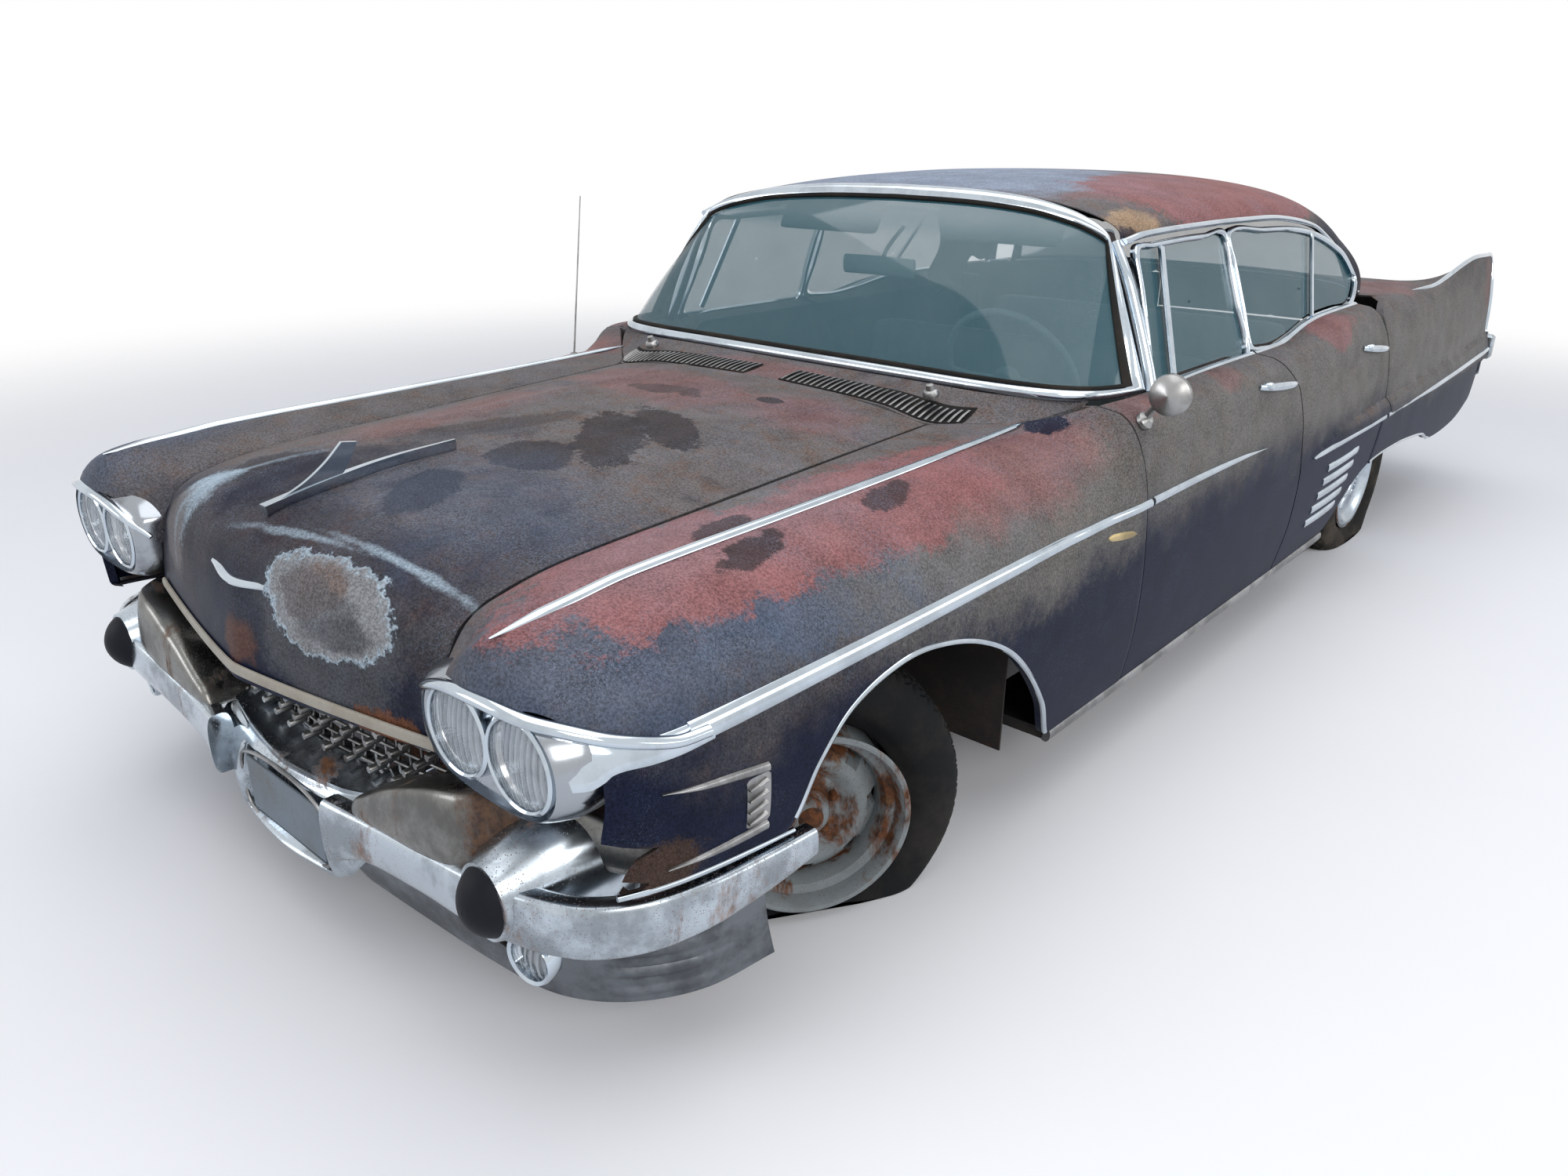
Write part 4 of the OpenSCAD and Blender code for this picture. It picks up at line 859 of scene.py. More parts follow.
def make_materials():
    """All the finishes, by name."""
    trim, cabin = bpy.context.scene.sedan_trim, bpy.context.scene.sedan_cabin
    # The hood's marks include painted highlight lines along its front roll and rib.
    paint("paint_hood", HOOD_MARKS)
    paint("paint_fender_left", FENDER_MARKS + TORN_MARKS)
    paint("paint_fender_right", [*FENDER_MARKS[:3], FENDER_MARKS[5]], mirrored=True, film=0.8)
    # The roof's marks include a painted sky reflection.
    paint("paint_roof", ROOF_MARKS)
    paint("paint_cowl", [("oxide", (-60, 1590, 950), (250, 60, 40), 0, 1.0, 8, 0.3, 0.4)])
    for side, mirrored in (("left", False), ("right", True)):
        paint("paint_front_door_" + side, FRONT_DOOR_MARKS, mirrored)
        paint("paint_rear_door_" + side, REAR_DOOR_MARKS, mirrored)
        paint("paint_quarter_" + side, QUARTER_MARKS, mirrored)
    paint("paint_deck", DECK_MARKS)
    metal("chrome", [1.08 * c for c in trim.chrome], 0.06, 0.10, 14.0, 0.25, 0.06, fade=0.82)
    metal("chrome_bumper", trim.chrome, 0.12, 0.56, 4.5, 0.9, 0.2, (0.20, 0.085, 0.035))
    metal("satin_metal", [0.85 * c for c in trim.satin], 0.24, 0.35, 7.0, 0.6, 0.2)
    # Darker copy of the bumper chrome for the upper wings: dull rusty chrome, and partly painted shade.
    metal("dull_shaded_wing_chrome", (0.215, 0.215, 0.205), 0.2, 0.55, 5.0, 0.9, 0.2, (0.13, 0.07, 0.04))
    metal("pod_metal", (0.36, 0.385, 0.42), 0.14, 0.4, 8.0, 0.6, 0.16)
    metal("dull_metal", (0.17, 0.185, 0.205), 0.36, 0.3, 7.0, 0.5, 0.15)
    metal("wheel_cover", trim.chrome, 0.14, 0.2, 9.0, 0.5, fade=0.75)
    metal("reflector", (0.86, 0.88, 0.9), 0.10, 0.05)
    metal("plain_badge", (0.55, 0.43, 0.22), 0.3, 0.1)
    coated("rim_steel", (0.260, 0.290, 0.300), 0.55, 0.64, grime_amount=0.35, scale=8.0)
    coated("rusty_iron", (0.095, 0.045, 0.028), 0.85, 0.9, grime_amount=0.5)
    coated("engine_iron", (0.045, 0.042, 0.040), 0.8, 0.4)
    coated("dark_steel", (0.030, 0.028, 0.028), 0.8, 0.45)
    coated("black_tip", (0.010, 0.011, 0.016), 0.5, 0.0, grime_amount=0.04)
    coated("seal_rubber", (0.012, 0.012, 0.012), 0.65, 0.0, grime_amount=0.3)
    coated("tyre_rubber", (0.012, 0.013, 0.014), 0.78, 0.0, (0.050, 0.044, 0.038), 0.6)
    coated("muddy_rubber", (0.022, 0.021, 0.020), 0.85, 0.0, (0.11, 0.09, 0.07), 0.9)
    coated("seat_vinyl", cabin.vinyl, 0.6, 0.0, (0.12, 0.11, 0.10), 0.5, weave=120.0)
    coated("headliner_cloth", cabin.cloth, 0.9, 0.0, (0.10, 0.09, 0.08), 0.5, weave=300.0)
    coated("visor_vinyl", (0.16, 0.25, 0.24), 0.6, 0.0)
    coated("wheel_plastic", cabin.ivory, 0.4, 0.0)
    coated("dash_paint", (0.022, 0.030, 0.040), 0.5, 0.1)
    coated("carpet", (0.035, 0.034, 0.033), 0.95, 0.1, (0.11, 0.09, 0.07), 0.8)
    coated("plate_metal", (0.20, 0.24, 0.28), 0.5, 0.25, (0.16, 0.14, 0.11), 0.5)
    # Near-black that paints the shade inside openings: the cowl vents, the parking lamp slots and the rear
    # pods' recessed middles.
    coated("recess_shade_black", (0.010, 0.010, 0.011), 0.8, 0.1)
    coated("red_lens", (0.32, 0.012, 0.010), 0.18, 0.0)
    window_glass("tinted_glass", trim.glass, 0.34, 0.10, 0.5)
    lens_glass("lens_glass")
    coated("aged_strip", (0.42, 0.39, 0.33), 0.45, 0.35, (0.20, 0.14, 0.08), 0.5, scale=14.0)


# ---- body surfaces ------------------------------------------------------------------------------


def lookup(x, table):
    """Straight-line value of a two-column table."""
    return np.interp(x, table[:, 0], table[:, 1])


def side_x(row, z):
    """Half width of the body at height z: a shoulder of power row[6], a parabola tucking in below."""
    up = np.clip((z - WIDEST_Z) / (row[..., 5] - WIDEST_Z), 0, 1)
    shoulder = row[..., 4] + (row[..., 7] - row[..., 4]) * (1 - up ** row[..., 6]) ** (1 / row[..., 6])
    tuck = row[..., 7] - TUCK * ((WIDEST_Z - z) / (WIDEST_Z - TUCK_Z)) ** 2
    return np.where(z >= WIDEST_Z, shoulder, tuck)


def bulge(s, z):
    """Depth of the spear pressed into the rear side: full at its lower edge, fading upwards and ahead."""
    high = lookup(s, BULGE_TOP)
    depth = 27 * np.clip((s - 3030) / 560, 0, 1) ** 0.7
    t = np.clip((z - BULGE_LOW) / np.maximum(high - BULGE_LOW, 1), 0, 1)
    below = np.clip(1 - (BULGE_LOW - z) / 16, 0, 1) ** 2
    return depth * np.where(z >= BULGE_LOW, (1 - t**2.2) ** 0.6, below)


def side_point(s, share, lower=None):
    """Point of the body side at a share of the height from its lower edge to its crest."""
    row = curve(SIDE, s)
    low = curve(LOWER, s)[..., 1] if lower is None else lower
    z = mix(low, row[..., 5], share)
    return stack(side_x(row, z) + bulge(s, z), s, z)


def side_at(s, z, out=0.0):
    """Point on the body side at station s and height z, moved outwards by out."""
    s, z = np.broadcast_arrays(np.asarray(s, float), np.asarray(z, float))
    return stack(side_x(curve(SIDE, s), z) + bulge(s, z) + out, s, z)


def top_point(s, u):
    """Fender's top, inner edge to crest: x grows evenly with u, height by the station's power of u."""
    row = curve(SIDE, s)
    return stack(mix(row[..., 1], row[..., 4], u), s, mix(row[..., 2], row[..., 5], u ** row[..., 3]))


SHARES = np.r_[np.linspace(1, 0.9, 9), np.linspace(0.88, 0.1, 40), np.linspace(0.08, 0, 5)]


def panel(front, rear, top_front, top_rear, tops, columns):
    """Side panel grid: rows across its top, then down its side; the last rows turn in out of sight."""
    v = np.linspace(0, 1, columns)[:, None]
    rows = [top_point(mix(mix(top_front[0], top_front[1], u), mix(top_rear[0], top_rear[1], u),
        v[:, 0]), u) for u in tops]
    side = side_point(mix(lookup(SHARES, front), lookup(SHARES, rear), v), SHARES[None])
    grid = np.concatenate([np.stack(rows, 1), side], 1)
    lip = grid[:, -1] - [22, 0, -2]
    return np.concatenate([grid, lip[:, None]], 1)


def front_fender(nose):
    """Fender from its nose cut to the door cut, with a gutter beside the hood and a return at each
    end."""
    grid = panel(nose, DOOR_FRONT - [0, PANEL_GAP], (162, 104), (1775, 1777), np.linspace(0, 0.93, 12), 150)
    gutter = grid[:, :1] + np.array([[[-5, 0, -6]], [[-6, 0, -26]]]).transpose(1, 0, 2)[:, ::-1]
    grid = np.concatenate([gutter, grid], 1)
    back = grid[-1:] + [-26, 0, -3]
    front = grid[:1] + [-10, 16, -4]
    return shell(np.concatenate([front, grid, back]), 2.5)


def quarter():
    """Quarter from the door cut to the tail; its rear rows close in towards a point of the tail."""
    v = np.linspace(0, 1, 150)[:, None]
    start = mix(lookup(SHARES, DOOR_REAR) + PANEL_GAP, 3952.0, SHARES**30)
    side = side_point(mix(start, TAIL, v), SHARES[None])
    tops = np.stack([top_point(mix(3952, 5432, v[:, 0]), u) for u in np.linspace(0, 0.93, 16)], 1)
    grid = np.concatenate([tops, side, side[:, -1:] - [22, 0, -2]], 1)
    rear = grid[-1:]
    middle = np.array([[[900, 5446, 760]]])
    grid = np.concatenate([grid[:1] - [24, -4, 3], grid, mix(rear, middle, 0.25) + [0, 10, 0],
        mix(rear, middle, 0.95)])
    return shell(grid, 2.5)


def hood_point(u, v):
    """Point of the hood at share u across and v back, with a raised crease down its middle."""
    row = curve(HOOD, v)
    e = np.abs(u) ** 2.6
    prow = np.abs(u) ** mix(1.15, 2.6, np.minimum(3 * v, 1))
    crease = 5.0 * np.exp(-(u * HOOD_HALF / 16) ** 2) * np.clip(v * 5, 0, 1)
    rib = 4.0 * np.exp(-((np.abs(u) * HOOD_HALF - 330 + 60 * v) / 22) ** 2) * np.clip((v - 0.25) * 5, 0, 1)
    return stack(u * HOOD_HALF, mix(row[..., 1], row[..., 3], prow),
        mix(row[..., 2], row[..., 4], e) + crease + rib)


def hood_panel():
    """Hood over half-sine spaced columns, with flanges turned down at its sides and rear."""
    v = np.linspace(0, 1, 120)[:, None]
    u = np.sin(np.linspace(1, -1, 97) * math.pi / 2)[None]
    grid = hood_point(u, v)
    grid = np.concatenate([grid[:, :1] + [-6, 0, -16], grid, grid[:, -1:] + [6, 0, -16]], 1)
    return shell(np.concatenate([grid, grid[-1:] + [0, -4, -18]]), 2.5)


def roof_point(u, s):
    """Roof across share u at station s: height falls from centre to rail as a superellipse of
    power 2.3."""
    row = curve(ROOF, s)
    a = np.abs(u)
    return stack(u * row[..., 2], s, mix(row[..., 3], row[..., 1], np.clip(1 - a**2.3, 0, 1) ** (1 / 2.3)))


def roof_panel():
    """Roof between the two curves that its headers follow."""
    u = np.sin(np.linspace(1, -1, 121) * math.pi / 2)[None]
    s = mix(curve(ROOF_FRONT, np.abs(u))[..., 1], curve(ROOF_REAR, np.abs(u))[..., 1],
        np.linspace(0, 1, 90)[:, None])
    return shell(roof_point(np.broadcast_to(u, s.shape), s), 3.0)


def cowl_point(t, v):
    """Cowl at share t across and v back; its height rises with the 1.5 power of v."""
    row = curve(COWL, np.abs(t))
    return stack(np.sign(t) * row[..., 1], mix(row[..., 2], row[..., 4], v),
        mix(row[..., 3], row[..., 5], v**1.5))


def cowl_panel():
    """Cowl with flanges turned down ahead of it and behind."""
    grid = cowl_point(np.linspace(1, -1, 91)[None], np.linspace(0, 1, 14)[:, None])
    return shell(np.concatenate([grid[:1] + [0, -4, -14], grid, grid[-1:] + [0, 6, -6]]), 2.0)


def rear_deck():
    """Deck from window to lid: its sides follow the fenders, its middle is a parabola 8 mm high."""
    t = np.linspace(1, -1, 81)[None]
    base = curve(BACKLIGHT, np.abs(t))
    y = mix(base[..., 2] + 10, LID_FRONT, np.linspace(0, 1, 14)[:, None])
    x = np.minimum(base[..., 1] + 6 * np.abs(t) ** 3, curve(SIDE, y)[..., 1] - 3)
    return shell(stack(np.sign(t) * x, y, 1004 + 8 * (1 - t * t)), 2.0)


def trunk_lid():
    """Lid whose height drops with the square of the share across, with a crease down its middle."""
    row = curve(LID, np.linspace(0, 1, 90))[:, None]
    u = np.linspace(1, -1, 61)[None]
    v = np.linspace(0, 1, 90)[:, None]
    crease = 4 * np.exp(-(u * LID_HALF / 14) ** 2)
    grid = stack(u * LID_HALF, row[..., 1] - 30 * u * u * v**4,
        mix(row[..., 2], row[..., 3], u * u) + crease)
    return shell(np.concatenate([grid[:, :1] + [-2, 0, -14], grid, grid[:, -1:] + [2, 0, -14]], 1), 2.5)


def pane_x(z):
    """Half width of the side windows' leaning plane at height z."""
    return 871 - (z - 958) * 0.365


def pane(s, z, out=0.0):
    """Point of the side windows' plane, moved outwards by out."""
    return stack(pane_x(np.asarray(z, float)) + out, s, z)


def door(front, rear, draw):
    """Door: body side between two seams, with returns, and a flat inner card drawn forward at its
    rear."""
    v = np.linspace(0, 1, 110)[:, None]
    a, b = lookup(SHARES, front)[None], lookup(SHARES, rear)[None]
    outer = side_point(mix(a, b, v), SHARES[None])
    outer = np.concatenate([outer[:1] + [-14, 0, -1], outer, outer[-1:] + [-14, 0, -1]])
    s = np.concatenate([outer[:1, :, 1], mix(a, b - draw, v), outer[-1:, :, 1] - draw])
    card_z = mix(lookup(s, LOWER) + 4, np.interp(s, [2030, 2100], [885, 940]), SHARES[None])
    inner = stack(np.minimum(790, outer[..., 0] - 40), s, card_z)
    return between(outer, inner)


def window_strip(points, width, rise, out=2.0, shift=0.0):
    """Bright strip along a line of (station, height) on the side window's surface."""
    p = along(points, 60)
    tangent = unit(np.gradient(p, axis=0))
    across = np.column_stack([-tangent[:, 1], tangent[:, 0]]) * width / 2
    a, b = p + across, p - across
    return strip(pane(a[:, 0], a[:, 1], out + shift), pane(b[:, 0], b[:, 1], out + shift), rise, 5, 6)


def side_strip(points, half, rise, out=0.5, n=90, across=7):
    """Strip along smooth (station, height, half width) rows laid on the body side, of power 0.45."""
    p = along(points, n)
    w = p[:, 2] if p.shape[1] > 2 else np.full(n, half)
    return strip(side_at(p[:, 0], p[:, 1] - w, out), side_at(p[:, 0], p[:, 1] + w, out), rise, across,
        3, power=0.45)


def shield_point(t, v, table=SHIELD, bow=(26, -1)):
    """Point of the windshield (or the rear window, by its table and bow) at share t across and v up."""
    row = curve(table, np.abs(t))
    b = bow[0] * 4 * v * (1 - v)
    return stack(np.sign(t) * mix(row[..., 1], row[..., 4], v),
        mix(row[..., 2], row[..., 5], v) + bow[1] * 0.7 * b, mix(row[..., 3], row[..., 6], v) + 0.7 * b)


def glass_sheet(table, bow, edge, shift, thick=5):
    """Sheet of the windshield or rear window between shares edge across, moved by shift."""
    t = np.linspace(edge, -edge, 81)[None]
    v = np.linspace(0.055, 0.945, 31)[:, None]
    return shell(shield_point(t, v, table, bow) + shift, thick)


def frame_loop(table, bow, t0, t1, v0, v1, n=60):
    """Closed line round a window surface between shares t0 and t1 across and v0 and v1 up."""
    a = np.linspace(t0, t1, n, endpoint=False)
    b = np.linspace(v0, v1, 16, endpoint=False)
    t = np.r_[a, np.full(16, t1), a[::-1] + (t1 - t0) / n, np.full(16, t0)]
    v = np.r_[np.full(n, v0), b, np.full(n, v1), b[::-1] + (v1 - v0) / 16]
    return shield_point(t, v, table, bow)


def glazing_frame(table, bow, bands, lift, rise):
    """Trim ring between an outer and an inner line round a window surface."""
    (t_out, low_out, high_out), (t_in, low_in, high_in) = bands
    outer = frame_loop(table, bow, -t_out, t_out, low_out, high_out)
    inner = frame_loop(table, bow, -t_in, t_in, low_in, high_in)
    return strip(outer + lift, inner + lift, rise, 7, 6, loop=True)


# ---- lamps and front ----------------------------------------------------------------------------


def pod_outline(n):
    """Stadium round both lamps: a circle of 92 mm drawn out by a tanh, as x and height from the
    outer end."""
    a = turn_of(n)
    reach, r = 77.5, 92.0
    x = sum(LAMP_XS) / 2 + r * np.cos(a) + reach * np.tanh(2.6 * np.cos(a))
    return x, LAMP_Z + r * np.sin(a)


def lamp_pod():
    """Sheet metal round both lamps: from a stadium-shaped lip back to the fender's opening."""
    n = 72
    x, z = pod_outline(n)
    lip = stack(x, np.full(n, LAMP_FACE), z)
    middle = np.array([sum(LAMP_XS) / 2, LAMP_FACE, LAMP_Z])
    a = turn_of(n)
    wide = stack(742 + signed_power(np.cos(a), 0.75) * 196, 160 + 12 * np.cos(a),
        700 + signed_power(np.sin(a), 0.8) * np.where(np.sin(a) > 0, 96, 118))
    wide[:, 0] = np.maximum(wide[:, 0], 556)
    throat = mix(lip, middle, 0.06) + [0, 10, 0]
    face = mix(lip, middle, 0.35) + [0, 16, 0]
    core = mix(lip, middle, 0.995) + [0, 18, 0]
    rows = [wide + [0, 40, 0], wide, mix(wide, lip, 0.35) - [0, 6, 0], mix(wide, lip, 0.7) - [0, 8, 0],
        lip - [0, 4, 0], lip, throat, face, core]
    return shell(np.stack(rows, 1), 2.0, loop=True)


def lamp(x):
    """Sealed lamp at x: bezel, reflector bowl, and a lens with vertical flutes crossed by a plain
    band."""
    centre = [x, LAMP_FACE + 4, LAMP_Z]
    bezel = lathe([[80, -26], [82, -8], [80, 6], [75, 10], [71.5, 7], [71, -2], [73, -20]], 72)
    bowl = lathe([[72, -4], [64, -24], [46, -44], [22, -54], [0.5, -57], [0.5, -60], [24, -58],
        [50, -47], [68, -28], [75, -6]], 60)
    flute = lambda a, r: (0.9 * np.abs(np.sin(r * np.cos(a) * 0.32)) * (np.abs(r * np.sin(a)) > 9)
        * (r < 66) + 0.8 * np.abs(np.sin(r * np.sin(a) * 0.5)) * (np.abs(r * np.sin(a)) <= 9))
    r = np.linspace(0.5, 70, 34)
    front = np.column_stack([r, 4 + 12 * (1 - (r / 70) ** 2)])
    back = np.column_stack([r[::-1], 1 + 12 * (1 - (r[::-1] / 70) ** 2)])
    lens = lathe(np.vstack([front, back]), 120, flute)
    place_at = lambda p, roll=0.0: turned(p, [0, -1, 0], centre, roll)
    return place_at(bezel), place_at(bowl), place_at(lens)


def bumper_section(p, depth=36.0, n=26):
    """Closed section at a bumper station: face of power 0.6, back of power 0.4, height of power 0.75."""
    a = turn_of(n)
    x, s, low, high = p
    half, mid = (high - low) / 2, (high + low) / 2
    bow = np.where(np.cos(a) > 0, np.abs(np.cos(a)) ** 0.6 * 22, -np.abs(np.cos(a)) ** 0.4 * depth)
    z = mid + signed_power(np.sin(a), 0.75) * half
    return x, s, bow, z


def bumper_sweep(table, depth, n=70, swing=(860.0, 985.0), lean=0.0):
    """Bumper bar through the table's stations, its face turning from the front to the side over swing."""
    p = along(table, n)
    turn = np.clip((p[:, 0] - swing[0]) / (swing[1] - swing[0]), 0, 1) * math.pi / 2
    sections = []
    for row, angle in zip(p, turn):
        x, s, bow, z = bumper_section(row, depth)
        back = (z - row[2]) * lean
        sections.append(stack(x + (bow - back) * math.sin(angle) * 0.75,
            s - (bow - back) * math.cos(angle), z))
    return skinned(np.stack(sections))


def valance():
    """Apron below the bar: a quarter sine forward, with four ribs as the positive halves of a sine."""
    p = along(VALANCE, 80)[:, None]
    w = np.linspace(0, 1, 40)[None]
    ends = np.clip((p[..., 0] - 800) / 60, 0, 1) * np.clip((500 - p[..., 1]) / 90, 0, 1)
    rib = 8 * ends * np.maximum(np.sin(w * math.pi * 8 - 1.5), 0) ** 0.6 * (w > 0.1)
    grid = stack(p[..., 0], p[..., 1] - 26 * np.sin(w * math.pi / 2) - rib, mix(p[..., 2], p[..., 3], w))
    return shell(grid, -3)


def centre_housing():
    """Bumper's middle: V in plan of power 1.6, half-sine face, and a box let in by a soft step for
    the plate."""
    x = np.linspace(-305, 305, 161)[:, None]
    w = np.linspace(0, 1, 90)[None]
    far = np.abs(x) / 305
    low = np.interp(np.abs(x), [0, 178, 222, 305], [184, 182, 204, 290])
    high = np.interp(np.abs(x), [0, 200, 305], [372, 380, 398])
    face = np.clip(w / 0.7, 0, 1)
    shelf = np.clip((w - 0.7) / 0.3, 0, 1)
    z = mix(low, high, face) + 14 * np.sin(shelf * math.pi * 0.5)
    ahead = 74 + 40 * far**1.6 + 34 * (1 - np.sin(np.clip(face * 1.05 + 0.02, 0, 1)
        * math.pi) ** 0.5) + 0.10 * (z - 180)
    soft = lambda t: 1 / (1 + np.exp(t / 2.5))
    box = soft(np.abs(x) - 174) * soft(200 - z) * soft(z - 344)
    return shell(stack(x + 0 * w, ahead + 36 * box + shelf * (236 - 108), z), 3.0)


def bullet():
    """Bumper guard: turned flared bullet and its black tip, made 1.16 times taller."""
    flare = [[60, 40], [63, 50], [68, 66], [77, 90], [89, 120], [103, 160], [115, 205], [123, 260],
        [113, 260], [60, 100], [50, 40]]
    tip = [[0.5, 0], [16, 3], [34, 13], [48, 28], [58, 48], [62, 70], [60, 78], [30, 82], [0.5, 82]]
    spin = lambda p, n: spun(along(p, n) * [1, -1], 72, [0, -1, 0], BULLET_AT)
    level = np.array([0, 0, BULLET_AT[2]])
    taller = lambda part: ((part[0] - level) * [1, 1, 1.16] + level, part[1])
    return taller(spin(flare, 60)), taller(spin(tip, 50))


def grille_bars():
    """Crossed rods bowed by the power 1.3 of the share across, with turned studs staggered on them."""
    parts, studs = [], []
    x = np.linspace(-520, 520, 41)
    bow = lambda x: 206 + 62 * (np.abs(x) / 520) ** 1.3
    for z in np.arange(392, 570, 29.0):
        parts.append(rod(stack(x, bow(x) + 6, np.full_like(x, z)), 3.6, 8))
    for k, xc in enumerate(np.arange(-504, 505, 36.0)):
        z = np.linspace(380, 576, 5)
        parts.append(rod(stack(np.full(5, xc), np.full(5, bow(xc) + 10), z), 3.2, 8, up=(0, 1, 0)))
        for zc in np.arange(392 + 14.5 + (29 if k % 2 else 0), 560, 58.0):
            stud = lathe(np.array([[0.4, 0], [7, 0], [8.5, 2], [8.5, 34], [0.4, 34]]) * [1, -1], 14)
            studs.append(turned(stud, [0, -1, 0], [xc, bow(xc) - 32, zc]))
    return parts, studs


# ---- operators: body ----------------------------------------------------------------------------


SIDES = (("left", False), ("right", True))


def sided(parts, mirrored):
    """The parts as they are, or their mirror images."""
    return [flipped(p) for p in parts] if mirrored else list(parts)


class SEDAN_OT_finishes(bpy.types.Operator):
    """Makes every material of the paint, metal, rubber, glass and cloth"""

    bl_idname = "sedan.finishes"
    bl_label = "Finishes"

    def execute(self, context):
        make_materials()
        return {"FINISHED"}


class SEDAN_OT_panels(bpy.types.Operator):
    """Pressed body panels with their flanges"""

    bl_idname = "sedan.panels"
    bl_label = "Body panels"

    def execute(self, context):
        for side, mirrored in SIDES:
            nose = FENDER_NOSE if mirrored else TORN_NOSE
            piece("fender_skin_" + side, sided([front_fender(nose)], mirrored), "paint_fender_" + side,
                replaces=["front_fender_" + side])
            piece("quarter_skin_" + side, sided([quarter()], mirrored), "paint_quarter_" + side,
                replaces=["quarter_" + side])
        piece("hood_skin", [hood_panel()], "paint_hood", "hood", ["hood"])
        piece("roof_skin", [roof_panel()], "paint_roof", replaces=["roof"])
        piece("cowl_skin", [cowl_panel()], "paint_cowl", replaces=["cowl"])
        piece("deck_skin", [rear_deck()], "paint_deck", replaces=["rear_deck"])
        piece("trunk_skin", [trunk_lid()], "paint_deck", "trunk_lid", ["trunk_lid"])
        piece("door_posts", both([bar([850, 1700, 250], [905, 1800, 880], 6),
            bar([820, 2890, 265], [900, 2960, 760], 6), bar([780, 3820, 480], [880, 3860, 960], 6)]),
            "dark_steel")
        return {"FINISHED"}


class SEDAN_OT_doors(bpy.types.Operator):
    """Doors with their cards, handles and rear louvres"""

    bl_idname = "sedan.doors"
    bl_label = "Doors"

    def execute(self, context):
        for side, mirrored in SIDES:
            piece("front_door_skin_" + side, sided([door(DOOR_FRONT, DOOR_MIDDLE, 38)], mirrored),
                "paint_front_door_" + side, "front_door_" + side, ["front_door_" + side])
            piece("rear_door_skin_" + side, sided([door(DOOR_MIDDLE + [0, PANEL_GAP], DOOR_REAR, 42)],
                mirrored), "paint_rear_door_" + side, "rear_door_" + side,
                ["rear_door_" + side])
            for end, places in (("front", ((2528, 898), (2806, 870))),
                    ("rear", ((3450, 891), (3795 - 60, 856)))):
                piece(f"{end}_handle_{side}", sided(self.handle(*places), mirrored), "chrome",
                    f"{end}_door_{side}")
            piece("rear_louvres_" + side, sided(self.louvres(), mirrored), "chrome", "rear_door_" + side)
        return {"FINISHED"}

    def handle(self, front, rear):
        """Pull handle: a flat grip bowed off the door by the root of a half sine, with a round button."""
        t = np.linspace(0, 1, 40)
        s, z = mix(front[0], rear[0], t), mix(front[1], rear[1], t)
        out = 4 + 17 * np.sin(math.pi * np.clip(t * 1.02, 0, 1)) ** 0.5
        base = side_at(s, z)
        grip = rod(base + stack(out, 0 * out, 0 * out),
            5 + 7 * np.sin(math.pi * (0.06 + 0.88 * t)) ** 0.6, 12, 0.55, (1, 0, 0))
        button = spun([[0.4, 24], [9, 24], [11, 20], [11, 0], [0.4, 0]], 24, [1, 0, 0.25],
            base[5] + [2, 0, 0])
        return [grip, button]

    def louvres(self):
        """Five raised fins along the side, each as high as a half sine to the power 0.4, stepped
        up by 44.5 mm."""
        parts = []
        for k in range(5):
            z = 341 + 44.5 * k
            s = np.linspace(3151 + 23 * k, 3468 + 28 * k, 30)
            low, high = side_at(s, np.full(30, z - 13.0), 1), side_at(s, np.full(30, z + 15.0), 1)
            parts.append(strip(low, high, 9 * np.sin(np.linspace(0.12, math.pi - 0.05, 30)) ** 0.4, 9,
                3, power=0.5))
        return parts


